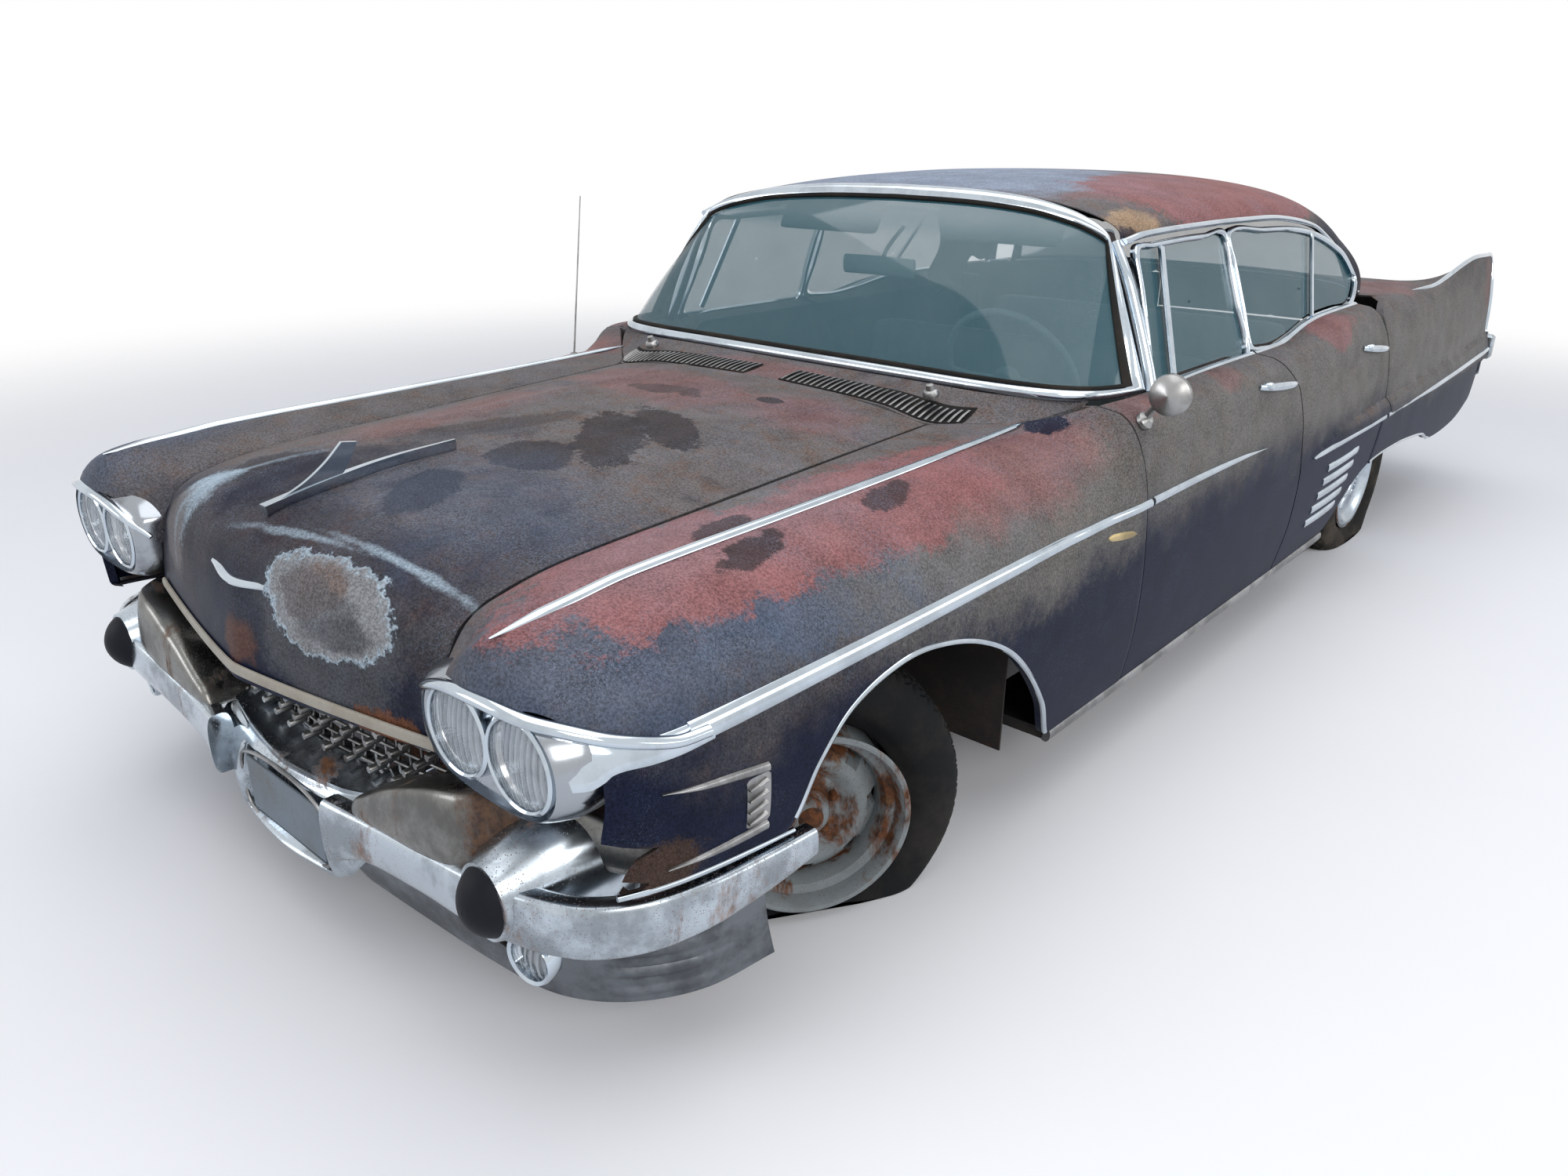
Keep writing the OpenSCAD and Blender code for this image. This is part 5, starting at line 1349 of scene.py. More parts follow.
class SEDAN_OT_trim(bpy.types.Operator):
    """Bright mouldings along the sides and over the front fenders"""

    bl_idname = "sedan.trim"
    bl_label = "Side trim"

    def brow(self):
        """Strip over the lamps: a rod on a smooth curve whose radius grows to 14, then a strip
        along the side."""
        path = along([[548, 150, 708], [600, 122, 748], [677, 107, 778], [779, 104, 788],
            (856, 122, 778), (913, 165, 761), (943, 215, 740), (968, 300, 714), (978, 360, 712)], 90)
        edge = rod(path, np.interp(np.linspace(0, 1, 90), [0, 0.08, 0.6, 1], [5, 11, 14, 13]), 12, 0.8)
        cheek = side_strip([[140, 727, 44], [165, 720, 38], [205, 717, 23], [260, 711, 21],
            [310, 709, 21], [372, 711, 20]], 20, 6, 1.0, n=50, across=13)
        return edge, cheek

    def fender_crest(self):
        """Spear along the top of a front fender: a rod on a smooth curve whose radius fades at
        both ends."""
        path = along([[742, 150, 860], [740, 300, 874], [738, 417, 884], [738, 800, 891],
            [738, 1170, 897], [735, 1500, 905], [733, 1690, 912]], 120)
        r = np.interp(np.linspace(0, 1, 120), [0, 0.06, 0.5, 0.95, 1], [2, 12, 12, 8, 2])
        return rod(path, r, 10, 0.8)

    def arch(self, s0, s1):
        """Round lip: a rod of 6.5 mm along the side's lower edge between two stations."""
        s = np.linspace(s0, s1, 110)
        p = side_point(s, 0.0)
        return rod(p + [-1, 0, 2], 6.5, 8)

    def front_parts(self):
        """Pieces fixed to a front fender."""
        strip_rows = [[330, 713, 20], [420, 715, 20], [900, 722, 17], [1400, 728, 14], [1822, 732, 12]]
        vent = [side_strip([[262, 644, 1], [330, 628, 6], [400, 617, 9], [476, 604, 10]], 5, 8, n=30),
            side_strip([[268, 509, 1], [340, 500, 6], [410, 496, 9], [476, 494, 10]], 5, 8, n=30),
            side_strip([[428, 551, 50], [436, 551, 58], [474, 549, 58], [482, 549, 50]], 50, 4, n=24,
            across=15)]
        for k in range(4):
            z = 520 + 21 * k
            vent.append(side_strip([[430, z - 3, 2], [470, z, 6]], 5, 10, n=16))
        sill = side_strip([[187, 489, 5], [300, 472, 6], [420, 459, 6], [547, 446, 4]], 6, 5, n=40)
        parts = [*self.brow(), self.fender_crest(), side_strip(strip_rows, 12, 9), self.arch(548, 1470),
            sill]
        return parts, vent

    def execute(self, context):
        for side, mirrored in SIDES:
            parts, vent = self.front_parts()
            piece("fender_trim_" + side, sided(parts, mirrored), "chrome")
            piece("fender_vent_" + side, sided(vent, mirrored), "satin_metal")
            piece("plain_badge_" + side, sided([side_strip([[1618, 693, 2], [1640, 690, 10],
                [1735, 676, 10], [1755, 673, 2]], 9, 5, n=24)], mirrored), "plain_badge")
            door_trim = [side_strip([[1836, 733, 12], [2100, 733, 11], [2400, 728, 8], [2572, 722, 1]],
                8, 8, n=60), self.belt(2037, 2715)]
            piece("front_door_trim_" + side, sided(door_trim, mirrored), "chrome", "front_door_" + side)
            rear = [self.belt(2728, 3690), self.spear(3041, 3770), self.arch(3425, 3770)]
            piece("rear_door_trim_" + side, sided(rear[:2], mirrored), "chrome", "rear_door_" + side)
            piece("quarter_trim_" + side, sided([self.spear(3800, 5425), self.fin_cap(),
                self.arch(3800, 4760)], mirrored), "chrome")
            rocker = strip(side_at(np.linspace(1492, 3440, 60), 206.0, 1),
                side_at(np.linspace(1492, 3440, 60), 238.0, 1), 7, 9, 12)
            piece("rocker_" + side, sided([rocker], mirrored), "satin_metal")
        return {"FINISHED"}

    def belt(self, s0, s1):
        """Moulding just below the crest of the side: a strip as high as a half sine to the power 0.6."""
        s = np.linspace(s0, s1, 90)
        width = bpy.context.scene.sedan_trim.belt_width * 1000
        row = curve(SIDE, s)
        outer = stack(row[:, 4] + 11, s, row[:, 5] - 11)
        inner = stack(row[:, 4] + 11 - width, s, row[:, 5] + 3)
        return strip(outer, inner, 7, 9, 4)

    def spear(self, s0, s1):
        """Moulding along the pressed spear's lower edge: its half width grows from a point to 9 mm."""
        s = np.linspace(s0, s1, 110)
        z = np.interp(s, [3041, 3200, 4200, 5500], [601, 604, 612, 648]) - 6
        half = np.interp(s, [3041, 3200, 5500], [1, 8, 9])
        return strip(side_at(s, z - half, 2), side_at(s, z + half + 3, 2), 8, 9, 4)

    def fin_cap(self):
        """Bright edge: a rod along the side's crest, then down the tail, with its radius growing
        from 2 to 10."""
        s = np.linspace(4330, 5436, 100)
        row = curve(SIDE, s)
        top = stack(row[:, 4], s, row[:, 5] + 1)
        down = stack(row[-1:, 4] + np.array([0, 22, 36, 44]), [5441, 5442, 5441, 5438],
            [1040, 950, 850, 725])
        path = along(np.vstack([top[::6], down]), 120)
        return rod(path, np.interp(np.linspace(0, 1, 120), [0, 0.1, 1], [2, 9, 10]), 10)


class SEDAN_OT_glass(bpy.types.Operator):
    """Windows with their bright frames, seals, pillars and drip rails"""

    bl_idname = "sedan.glass"
    bl_label = "Windows"

    def side_window(self, outline, middle):
        """Glass of one side window: its outline drawn in by 19 mm, in rings that shrink to its middle."""
        p = np.asarray(outline, float)
        d = np.asarray(middle, float) - p
        inner = p + 19 * np.sign(d) * np.minimum(1, np.abs(d) / [60, 20])
        ring = along(inner, 96, loop=True)
        rings = [mix(ring, np.asarray(middle, float), w) for w in (0, 0.25, 0.5, 0.75, 0.98)]
        grid = np.stack([pane(r[:, 0], r[:, 1], -8.0) for r in rings], 1)
        return shell(grid, 5, loop=True)

    def window_ring(self, outline, middle, width=15, rise=6):
        """Bright frame: a strip between the window's outline and the same outline drawn in by width."""
        p = along(outline, 150, loop=True)
        d = np.asarray(middle, float) - p
        inner = p + width * np.sign(d) * np.minimum(1, np.abs(d) / [60, 20])
        return strip(pane(p[:, 0], p[:, 1], 1), pane(inner[:, 0], inner[:, 1], 1), rise, 5, 14, loop=True)

    def post(self, low, high, width, rise=6):
        """Upright bar: a straight strip between two points of the window's plane."""
        return window_strip([low, mix(np.array(low, float), np.array(high, float), 0.5), high], width, rise)

    def execute(self, context):
        shield, back = (SHIELD, (26, -1)), (BACKLIGHT, (30, 1))
        piece("fixed_panes", [glass_sheet(*shield, 0.957, [0, 6, -4]),
            glass_sheet(*back, 0.962, [0, -5, -4])], "tinted_glass",
            replaces=["fixed_glass"])
        seals = [glazing_frame(*shield, ((0.972, 0.035, 0.962), (0.945, 0.058, 0.935)), [0, 1, 0], 5),
            glazing_frame(*back, ((0.975, 0.035, 0.965), (0.95, 0.06, 0.94)), [0, -1, 0], 5)]
        piece("glass_seals", seals, "seal_rubber")
        bright = [glazing_frame(*shield, ((1.012, -0.012, 1.025), (0.968, 0.036, 0.95)), [0, -3, 2],
            10), glazing_frame(*back, ((1.005, 0.0, 1.0), (0.972, 0.035, 0.962)), [0, 2, 2], 7)]
        piece("glass_surrounds", bright, "chrome", replaces=["windshield_frame"])
        piece("pillars", both([self.pillar(), self.drip_rail(), self.rear_pillar()]), "chrome")
        for side, mirrored in SIDES:
            windows = (("front", FRONT_PANE, (2380, 1130)), ("rear", REAR_PANE, (3220, 1090)))
            for end, outline, middle in windows:
                body = f"{end}_door_{side}"
                piece(f"{end}_pane_{side}", sided([self.side_window(outline, middle)], mirrored),
                    "tinted_glass", body, [f"{end}_glass_{side}"])
                bars = [self.window_ring(outline, middle)]
                if end == "front":
                    bars.append(self.post((2173, 972), (2252, 1278), 22))
                else:
                    bars.append(self.post((3255, 1004), (3398, 1246), 16))
                piece(f"{end}_frame_{side}", sided(bars, mirrored), "chrome", body)
        return {"FINISHED"}

    def pillar(self):
        """Front pillar: a flattened rod from the cowl's corner to the header, thinning upwards."""
        base = along([[876, 2024, 950], [852, 2036, 1010], [806, 2048, 1120], [762, 2056, 1220],
            [716, 2068, 1296]], 50)
        return rod(base, np.interp(np.linspace(0, 1, 50), [0, 0.4, 1], [22, 19, 15]), 14, 0.8, (0, 1, 0))

    def drip_rail(self):
        """Gutter: a flattened rod over the side windows, down to the foot of the rear pillar."""
        path = along([[741, 2068, 1299], [755, 2150, 1314], [762, 2500, 1321], [764, 2800, 1320],
            [760, 3100, 1311], [754, 3430, 1273], [750, 3620, 1222], [756, 3740, 1172],
            [768, 3830, 1112], [790, 3920, 1020]], 140)
        return rod(path, bpy.context.scene.sedan_trim.drip_radius * 1000, 10, 0.8)

    def rear_pillar(self):
        """Trim at the rear pillar's foot: a flattened rod on a smooth curve."""
        path = along([[792, 3935, 1014], [780, 4000, 1012], [762, 4048, 1011]], 24)
        return rod(path, 9, 10, 0.7)


class SEDAN_OT_front(bpy.types.Operator):
    """Lamps, grille, front bumper and the hood's fittings"""

    bl_idname = "sedan.front"
    bl_label = "Front end"

    def execute(self, context):
        piece("lamp_pods", both([lamp_pod()]), "pod_metal", replaces=["headlamp_pods"])
        bezels, bowls, lenses = zip(*(lamp(x) for x in LAMP_XS))
        piece("lamp_bezels", both(bezels), "chrome")
        piece("lamp_bowls", both(bowls), "reflector")
        piece("lamp_lenses", both(lenses), "lens_glass")
        bars, studs = grille_bars()
        piece("grille_bars", bars, "satin_metal", replaces=["grille"])
        piece("grille_studs", studs, "satin_metal")
        flare, tip = bullet()
        chrome = "chrome_bumper"
        piece("bumper_bar", both([bumper_sweep(BAR, 34), flare]), chrome, replaces=["front_bumper"])
        # The wings' darker chrome is partly painted shade.
        piece("bumper_wings", both([bumper_sweep(WING, 84, 80, (820.0, 955.0), 0.12)]), "dull_shaded_wing_chrome")
        piece("bumper_centre", [centre_housing()], chrome)
        piece("bumper_valance", both([valance(), self.bracket()]), "dull_metal")
        piece("bumper_tips", both([tip]), "black_tip")
        ring, disc, ribs = self.parking_lamp()
        piece("parking_rings", both([ring]), "chrome")
        piece("parking_lenses", both([disc]), "lens_glass")
        # The slots are near-black bars: painted shade inside the openings beside the parking lamp.
        piece("parking_slots", both(ribs), "recess_shade_black")
        piece("front_plate", [bar([-152, 112, 207], [152, 118, 332], 2)], "plate_metal")
        piece("plate_frame", [rod(along([[-158, 112, 201], [158, 112, 201], [158, 112, 338],
            [-158, 112, 338]], 80, loop=True), 4, 8, up=(0, 1, 0), loop=True)], "satin_metal")
        self.hood_fittings()
        self.cowl_fittings()
        return {"FINISHED"}

    def bracket(self):
        """Rounded block that joins the apron to the bar."""
        return bar([300, 170, 300], [360, 249, 360], 5)

    def parking_lamp(self):
        """Round lamp: turned ring and lens, leaning outwards; and five bars stepped up by 17 mm
        beside it, near-black to paint the shade inside its slots."""
        centre = [762, 158, 292]
        spin = lambda p: spun(p, 48, [0.15, -1, 0], centre)
        ring = spin([[46, -22], [49, 4], [46, 11], [40, 8], [38, -10]])
        disc = spin([[40, 0], [30, 8], [14, 12], [0.5, 13], [0.5, 6], [38, -4]])
        ribs = [bar([600, 172 - 3 * k, 248 + 17 * k], [706, 184 - 3 * k, 256 + 17 * k], 3)
            for k in range(5)]
        return ring, disc, ribs

    def hood_fittings(self):
        """Strip along the hood's lower edge; on its nose a bent bar, a tapering blade and a fin
        between two curves."""
        u = np.linspace(-0.985, 0.985, 120)
        lip = hood_point(u, np.full(120, 0.012))
        low = lip + [0, -4, -10]
        piece("hood_lip", [strip(low, lip + [0, -5, 14], 4, 9, 3, power=0.3)], "aged_strip", "hood")
        spear = np.linspace(0, 1, 40)
        line = along([[-6, 176, 884], [-3, 300, 908], [0, 430, 926], [0, 590, 934]], 40)
        blade = strip(line + stack(-9 * (1 - spear) - 3, 0 * spear, 0 * spear),
            line + stack(9 * (1 - spear) + 3, 0 * spear, 0 * spear), 14, 9, 10, power=0.6)
        tall = along([[-4, 180, 890], [-2, 250, 918], [0, 300, 950], [0, 340, 985]], 30)
        rear = along([[-2, 250, 900], [-1, 300, 912], [0, 335, 925], [0, 372, 980]], 30)
        fin = between(np.stack([tall + [4, 0, 0], rear + [4, 0, 0]], 1),
            np.stack([tall - [4, 0, 0], rear - [4, 0, 0]], 1))
        bar_plain = rod(along([[-105, 116, 778], [0, 96, 770], [105, 116, 778]], 30), 13, 12, 0.6)
        piece("hood_ornament", [blade, fin, bar_plain], "chrome", "hood", sharp=25)

    def cowl_fittings(self):
        """Level slats every 18.5 mm over a dark sheet of the cowl's own curve, which paints the shade
        inside the vent; turned wiper
            pivots; a thin mast."""
        slats = []
        for x in np.arange(66, 590, 18.5):
            t = x / 824
            front, rear = 0.08, np.interp(x, [60, 590], [0.62, 0.5])
            a, b = cowl_point(t, np.array(front)), cowl_point(t, np.array(rear))
            line = along([a + [0, 0, 2], mix(a, b, 0.5) + [0, 0, 4], b + [0, 0, 2]], 8)
            slats.append(strip(line + [-3.4, 0, 0], line + [3.4, 0, 0], 2.5, 5, 2))
        t = np.linspace(58, 596, 50)[None] / 824
        v = np.linspace(0.06, 0.60, 6)[:, None]
        # Dark sheet just over the cowl, under the slats: painted shade where the vent opens.
        vent_shade = shell(cowl_point(t + 0 * v, v + 0 * t) + [0, 0, 1.2], 1.5)
        piece("cowl_slats", both(slats), "satin_metal")
        piece("cowl_vent_shade", both([vent_shade]), "recess_shade_black")
        pivot = spun([[0.4, 26], [9, 25], [11, 12], [17, 9], [20, 2], [20, -6], [0.4, -6]], 24,
            [0, -0.3, 1], [504, 1604, 955])
        piece("wiper_pivots", both([pivot]), "satin_metal")
        mast = rod(along([[-780, 1525, 895], [-786, 1560, 1130], [-792, 1595, 1365]], 20),
            np.linspace(3, 1.5, 20), 8, up=(1, 0, 0))
        foot = spun([[0.4, 16], [9, 14], [16, 2], [16, -4], [0.4, -4]], 20, [0, 0, 1], [-780, 1525, 893])
        piece("antenna", [mast, foot], "satin_metal")


class SEDAN_OT_rear(bpy.types.Operator):
    """Rear bumper, tail lamps, tail panel dressing and the trunk handle"""

    bl_idname = "sedan.rear"
    bl_label = "Rear end"

    def section(self, p, n=28):
        """Superellipse section of power 0.7 at one station of the rear bumper."""
        a = turn_of(n)
        x, s, low, high = p
        z = (low + high) / 2 + signed_power(np.sin(a), 0.7) * (high - low) / 2
        depth = min(62, s - 5452)
        y = s - depth / 2 + signed_power(np.cos(a), 0.7) * depth / 2
        return stack(np.full(n, x), y, z)

    def pod(self):
        """Turned round pod at the bumper's end, with a recessed middle in near-black that paints the shade
        inside it.
        """
        spin = lambda p: spun(p, 48, [0, 1, 0], [930, 5452, 640])
        return (spin([[70, 0], [76, 30], [74, 80], [66, 108], [56, 112], [52, 100], [50, 40], [40, 0]]),
            spin([[50, 60], [30, 72], [0.5, 76], [0.5, 50], [50, 48]]))

    def execute(self, context):
        bar_table = along(REAR_BAR, 50)
        loops = np.stack([self.section(p) for p in bar_table])
        full = np.concatenate([loops[::-1] * [-1, 1, 1], loops[1:]])
        pod, core = self.pod()
        ends = bar([962, 5452, 590], [1015, 5500, 700], 14)
        plate = bar([-190, 5545, 372], [190, 5561, 520], 6)
        chrome = "chrome_bumper"
        piece("rear_bar", [skinned(full), plate, *both([pod, ends])], chrome, replaces=["rear_bumper"])
        # The cores are near-black discs: painted shade inside the pods' recesses.
        piece("rear_pod_cores", both([core]), "recess_shade_black")
        ribs = [rod(along([[-600, 5416, z], [0, 5422, z], [600, 5416, z]], 30), 7, 8)
            for z in np.arange(500, 680, 22.0)]
        piece("tail_ribs", ribs, "satin_metal")
        tail = spun([[62, -6], [64, 6], [50, 22], [20, 30], [0.5, 31], [0.5, -6]], 40, [0, 1, 0],
            [780, 5410, 770])
        rim = spun([[70, -4], [76, 4], [72, 14], [63, 12], [63, -4]], 40, [0, 1, 0], [780, 5410, 770])
        piece("tail_lenses", both([tail]), "red_lens")
        piece("tail_rims", both([rim]), "chrome")
        handle = rod(along([[-70, 5440, 800], [-40, 5462, 806], [40, 5462, 806], [70, 5440, 800]], 40),
            9, 12, 0.7)
        piece("trunk_handle", [handle, rod(along([[-560, 5446, 716], [0, 5450, 716], [560, 5446, 716]],
            40), 8, 10)], "chrome", "trunk_lid")
        return {"FINISHED"}


class SEDAN_OT_wheels(bpy.types.Operator):
    """Wheels with slotted discs, tyres with tread, lug nuts and covers"""

    bl_idname = "sedan.wheels"
    bl_label = "Wheels and tyres"

    def rim(self):
        """Rim turned from its flanges, bead seats and drop centre, outside and inside."""
        outer = [[208, 82], [203, 86], [196, 84], [192, 78], [188, 60], [186, 46], [170, 38], [163, 20],
            [163, -20], [172, -42], [188, -50], [192, -74], [198, -84], [206, -84]]
        inner = [[203, -78], [197, -74], [194, -46], [178, -36], [169, -18], [169, 18], [176, 34],
            [192, 42], [195, 72], [203, 78]]
        return lathe(outer + inner, 96)

    def disc(self):
        """Turned pressed disc; where the square of the cosine of four turns passes 0.86 its edge
        drops as a slot."""
        r = np.array([20, 34, 40, 52, 64, 78, 90, 104, 118, 132, 146, 156, 163], float)
        z = np.array([52, 50, 46, 12, 5, 2, 8, 22, 26, 22, 10, -4, -8], float)
        front = np.column_stack([r, z])
        back = np.column_stack([r[::-1], z[::-1] - 6])
        dip = lambda a, rr: -26 * (np.cos(4 * a) ** 2 > 0.86) * (rr > 139)
        return lathe(np.vstack([front, back]), 144, dip)

    def hub(self):
        """Turned hub and bearing cap."""
        return lathe([[0.5, 62], [14, 60], [24, 54], [33, 46], [35, 20], [35, -30], [0.5, -30]], 48)

    def drum(self):
        """Turned brake drum behind the disc."""
        return lathe([[150, -14], [152, -62], [60, -64], [60, -12]], 64)

    def nuts(self):
        """Five six-sided nuts on a circle of 64 mm."""
        parts = []
        for k in range(5):
            a = 2 * math.pi * (k + 0.3) / 5
            nut = lathe([[0.4, 22], [6, 22], [10, 17], [11, 0], [0.4, 0]], 6)
            parts.append((nut[0] + [64 * math.cos(a), 64 * math.sin(a), 3], nut[1]))
        return parts

    def tyre(self, height, out_shift):
        """Slack tyre: turned section, cut by zigzag grooves, swollen by up to 16 % low down and
        cut off flat there."""
        limit = TYRE_W / 2 + 14
        ring = np.array([[206, 70], [222, 80], [243, 92], [270, 99], [300, 98], [326, 88], [341, 74],
            [348, 60], [350, 30], [351, 0], [350, -30], [348, -60], [341, -74], [326, -88], [300, -98],
            [270, -99], [243, -92], [222, -80], [206, -70], [212, -60], [330, -60], [334, 0], [330, 60],
            [212, 60]], float)
        ring = along(ring, 150, loop=True)
        a = turn_of(352)
        r, w = ring[None, :, 0], ring[None, :, 1] + 0 * a[:, None]
        crown = (np.abs(w) < 78) & (r > 338)
        rib = np.abs(np.abs((w + 7 * np.sin(a * 44)[:, None]) / 30) % 1 - 0.5)
        cut = crown * (8.0 * (rib > 0.38) + 4.0 * (np.sin(a * 88)[:, None] > 0.6) * (np.abs(w) > 12))
        r = r - cut
        soft = r > 236
        down = np.clip(-np.cos(a)[:, None], 0, 1)
        x, z = r * np.sin(a)[:, None], r * np.cos(a)[:, None]
        ground = -height
        bulged = w * (1 + 0.16 * np.clip((ground + 60 - z) / 100, 0, 1) * soft * down)
        z = np.where(soft, np.maximum(z, ground), z)
        z = np.where((z <= ground + 0.5) & (np.abs(w) < 92), ground, z)
        grid = stack(x, z, np.clip(bulged, -limit, limit) + out_shift)
        return outward(grid.reshape(-1, 3), [quads(352, 150, 0, True, True)])

    def cover(self):
        """Turned wheel cover: stepped dish and domed middle, with forty ribs as a square wave on
        its band."""
        front = [[0.5, 78], [18, 77], [34, 70], [44, 58], [52, 50], [64, 52], [72, 60], [88, 64],
            [128, 60], [150, 64], [166, 74], [180, 84], [192, 88], [200, 84]]
        back = [[199, 78], [188, 80], [170, 66], [150, 56], [128, 52], [88, 56], [64, 44], [40, 48],
            [20, 66], [0.5, 70]]
        rib = lambda a, r: 3.2 * np.sign(np.sin(a * 40)) * (r > 86) * (r < 130)
        return lathe(np.vstack([along(front, 60), along(back, 40)]), 160, rib)

    def placed(self, parts, centre, axis, mirrored):
        """Parts whose Z is the wheel's outward axis and whose Y points up."""
        axis = np.asarray(axis, float)
        up = np.array([0.0, 0, 1])
        across = np.cross(up, axis)
        basis = np.array([across, up, axis])
        moved = [outward(p @ basis + centre, f) for p, f in parts]
        return sided(moved, mirrored)

    def execute(self, context):
        c, s = math.cos(STEER_REST), math.sin(STEER_REST)
        left = (np.array([KINGPIN_X + KINGPIN_OFFSET * c, FRONT_AXLE - KINGPIN_OFFSET * s, HUB_LOW]),
            np.array([c, -s, 0]))
        right = (np.array([KINGPIN_X + KINGPIN_OFFSET * c, FRONT_AXLE + KINGPIN_OFFSET * s, HUB_Z]),
            np.array([c, s, 0]))
        rear = (np.array([REAR_TRACK, REAR_AXLE, HUB_Z]), np.array([1.0, 0, 0]))
        spots = (("front_wheel_left", left, False, HUB_LOW, -60.0, False),
            ("front_wheel_right", right, True, HUB_Z, 0.0, False),
            ("rear_wheel_left", rear, False, HUB_Z, 0.0, True),
            ("rear_wheel_right", rear, True, HUB_Z, 0.0, True))
        for body, (centre, axis), mirrored, height, shift, covered in spots:
            dress = lambda parts: self.placed(parts, centre, axis, mirrored)
            piece("rim_" + body, dress([self.rim(), self.disc()]), "rim_steel", body, [body])
            piece("hub_" + body, dress([self.hub(), self.drum(), *self.nuts()]), "rusty_iron", body)
            piece("rubber_" + body, dress([self.tyre(height, shift)]),
                "muddy_rubber" if covered else "tyre_rubber", body,
                [body.replace("wheel", "tyre")], 30)
            if covered:
                piece("cover_" + body, dress([self.cover()]), "wheel_cover", body)
        return {"FINISHED"}


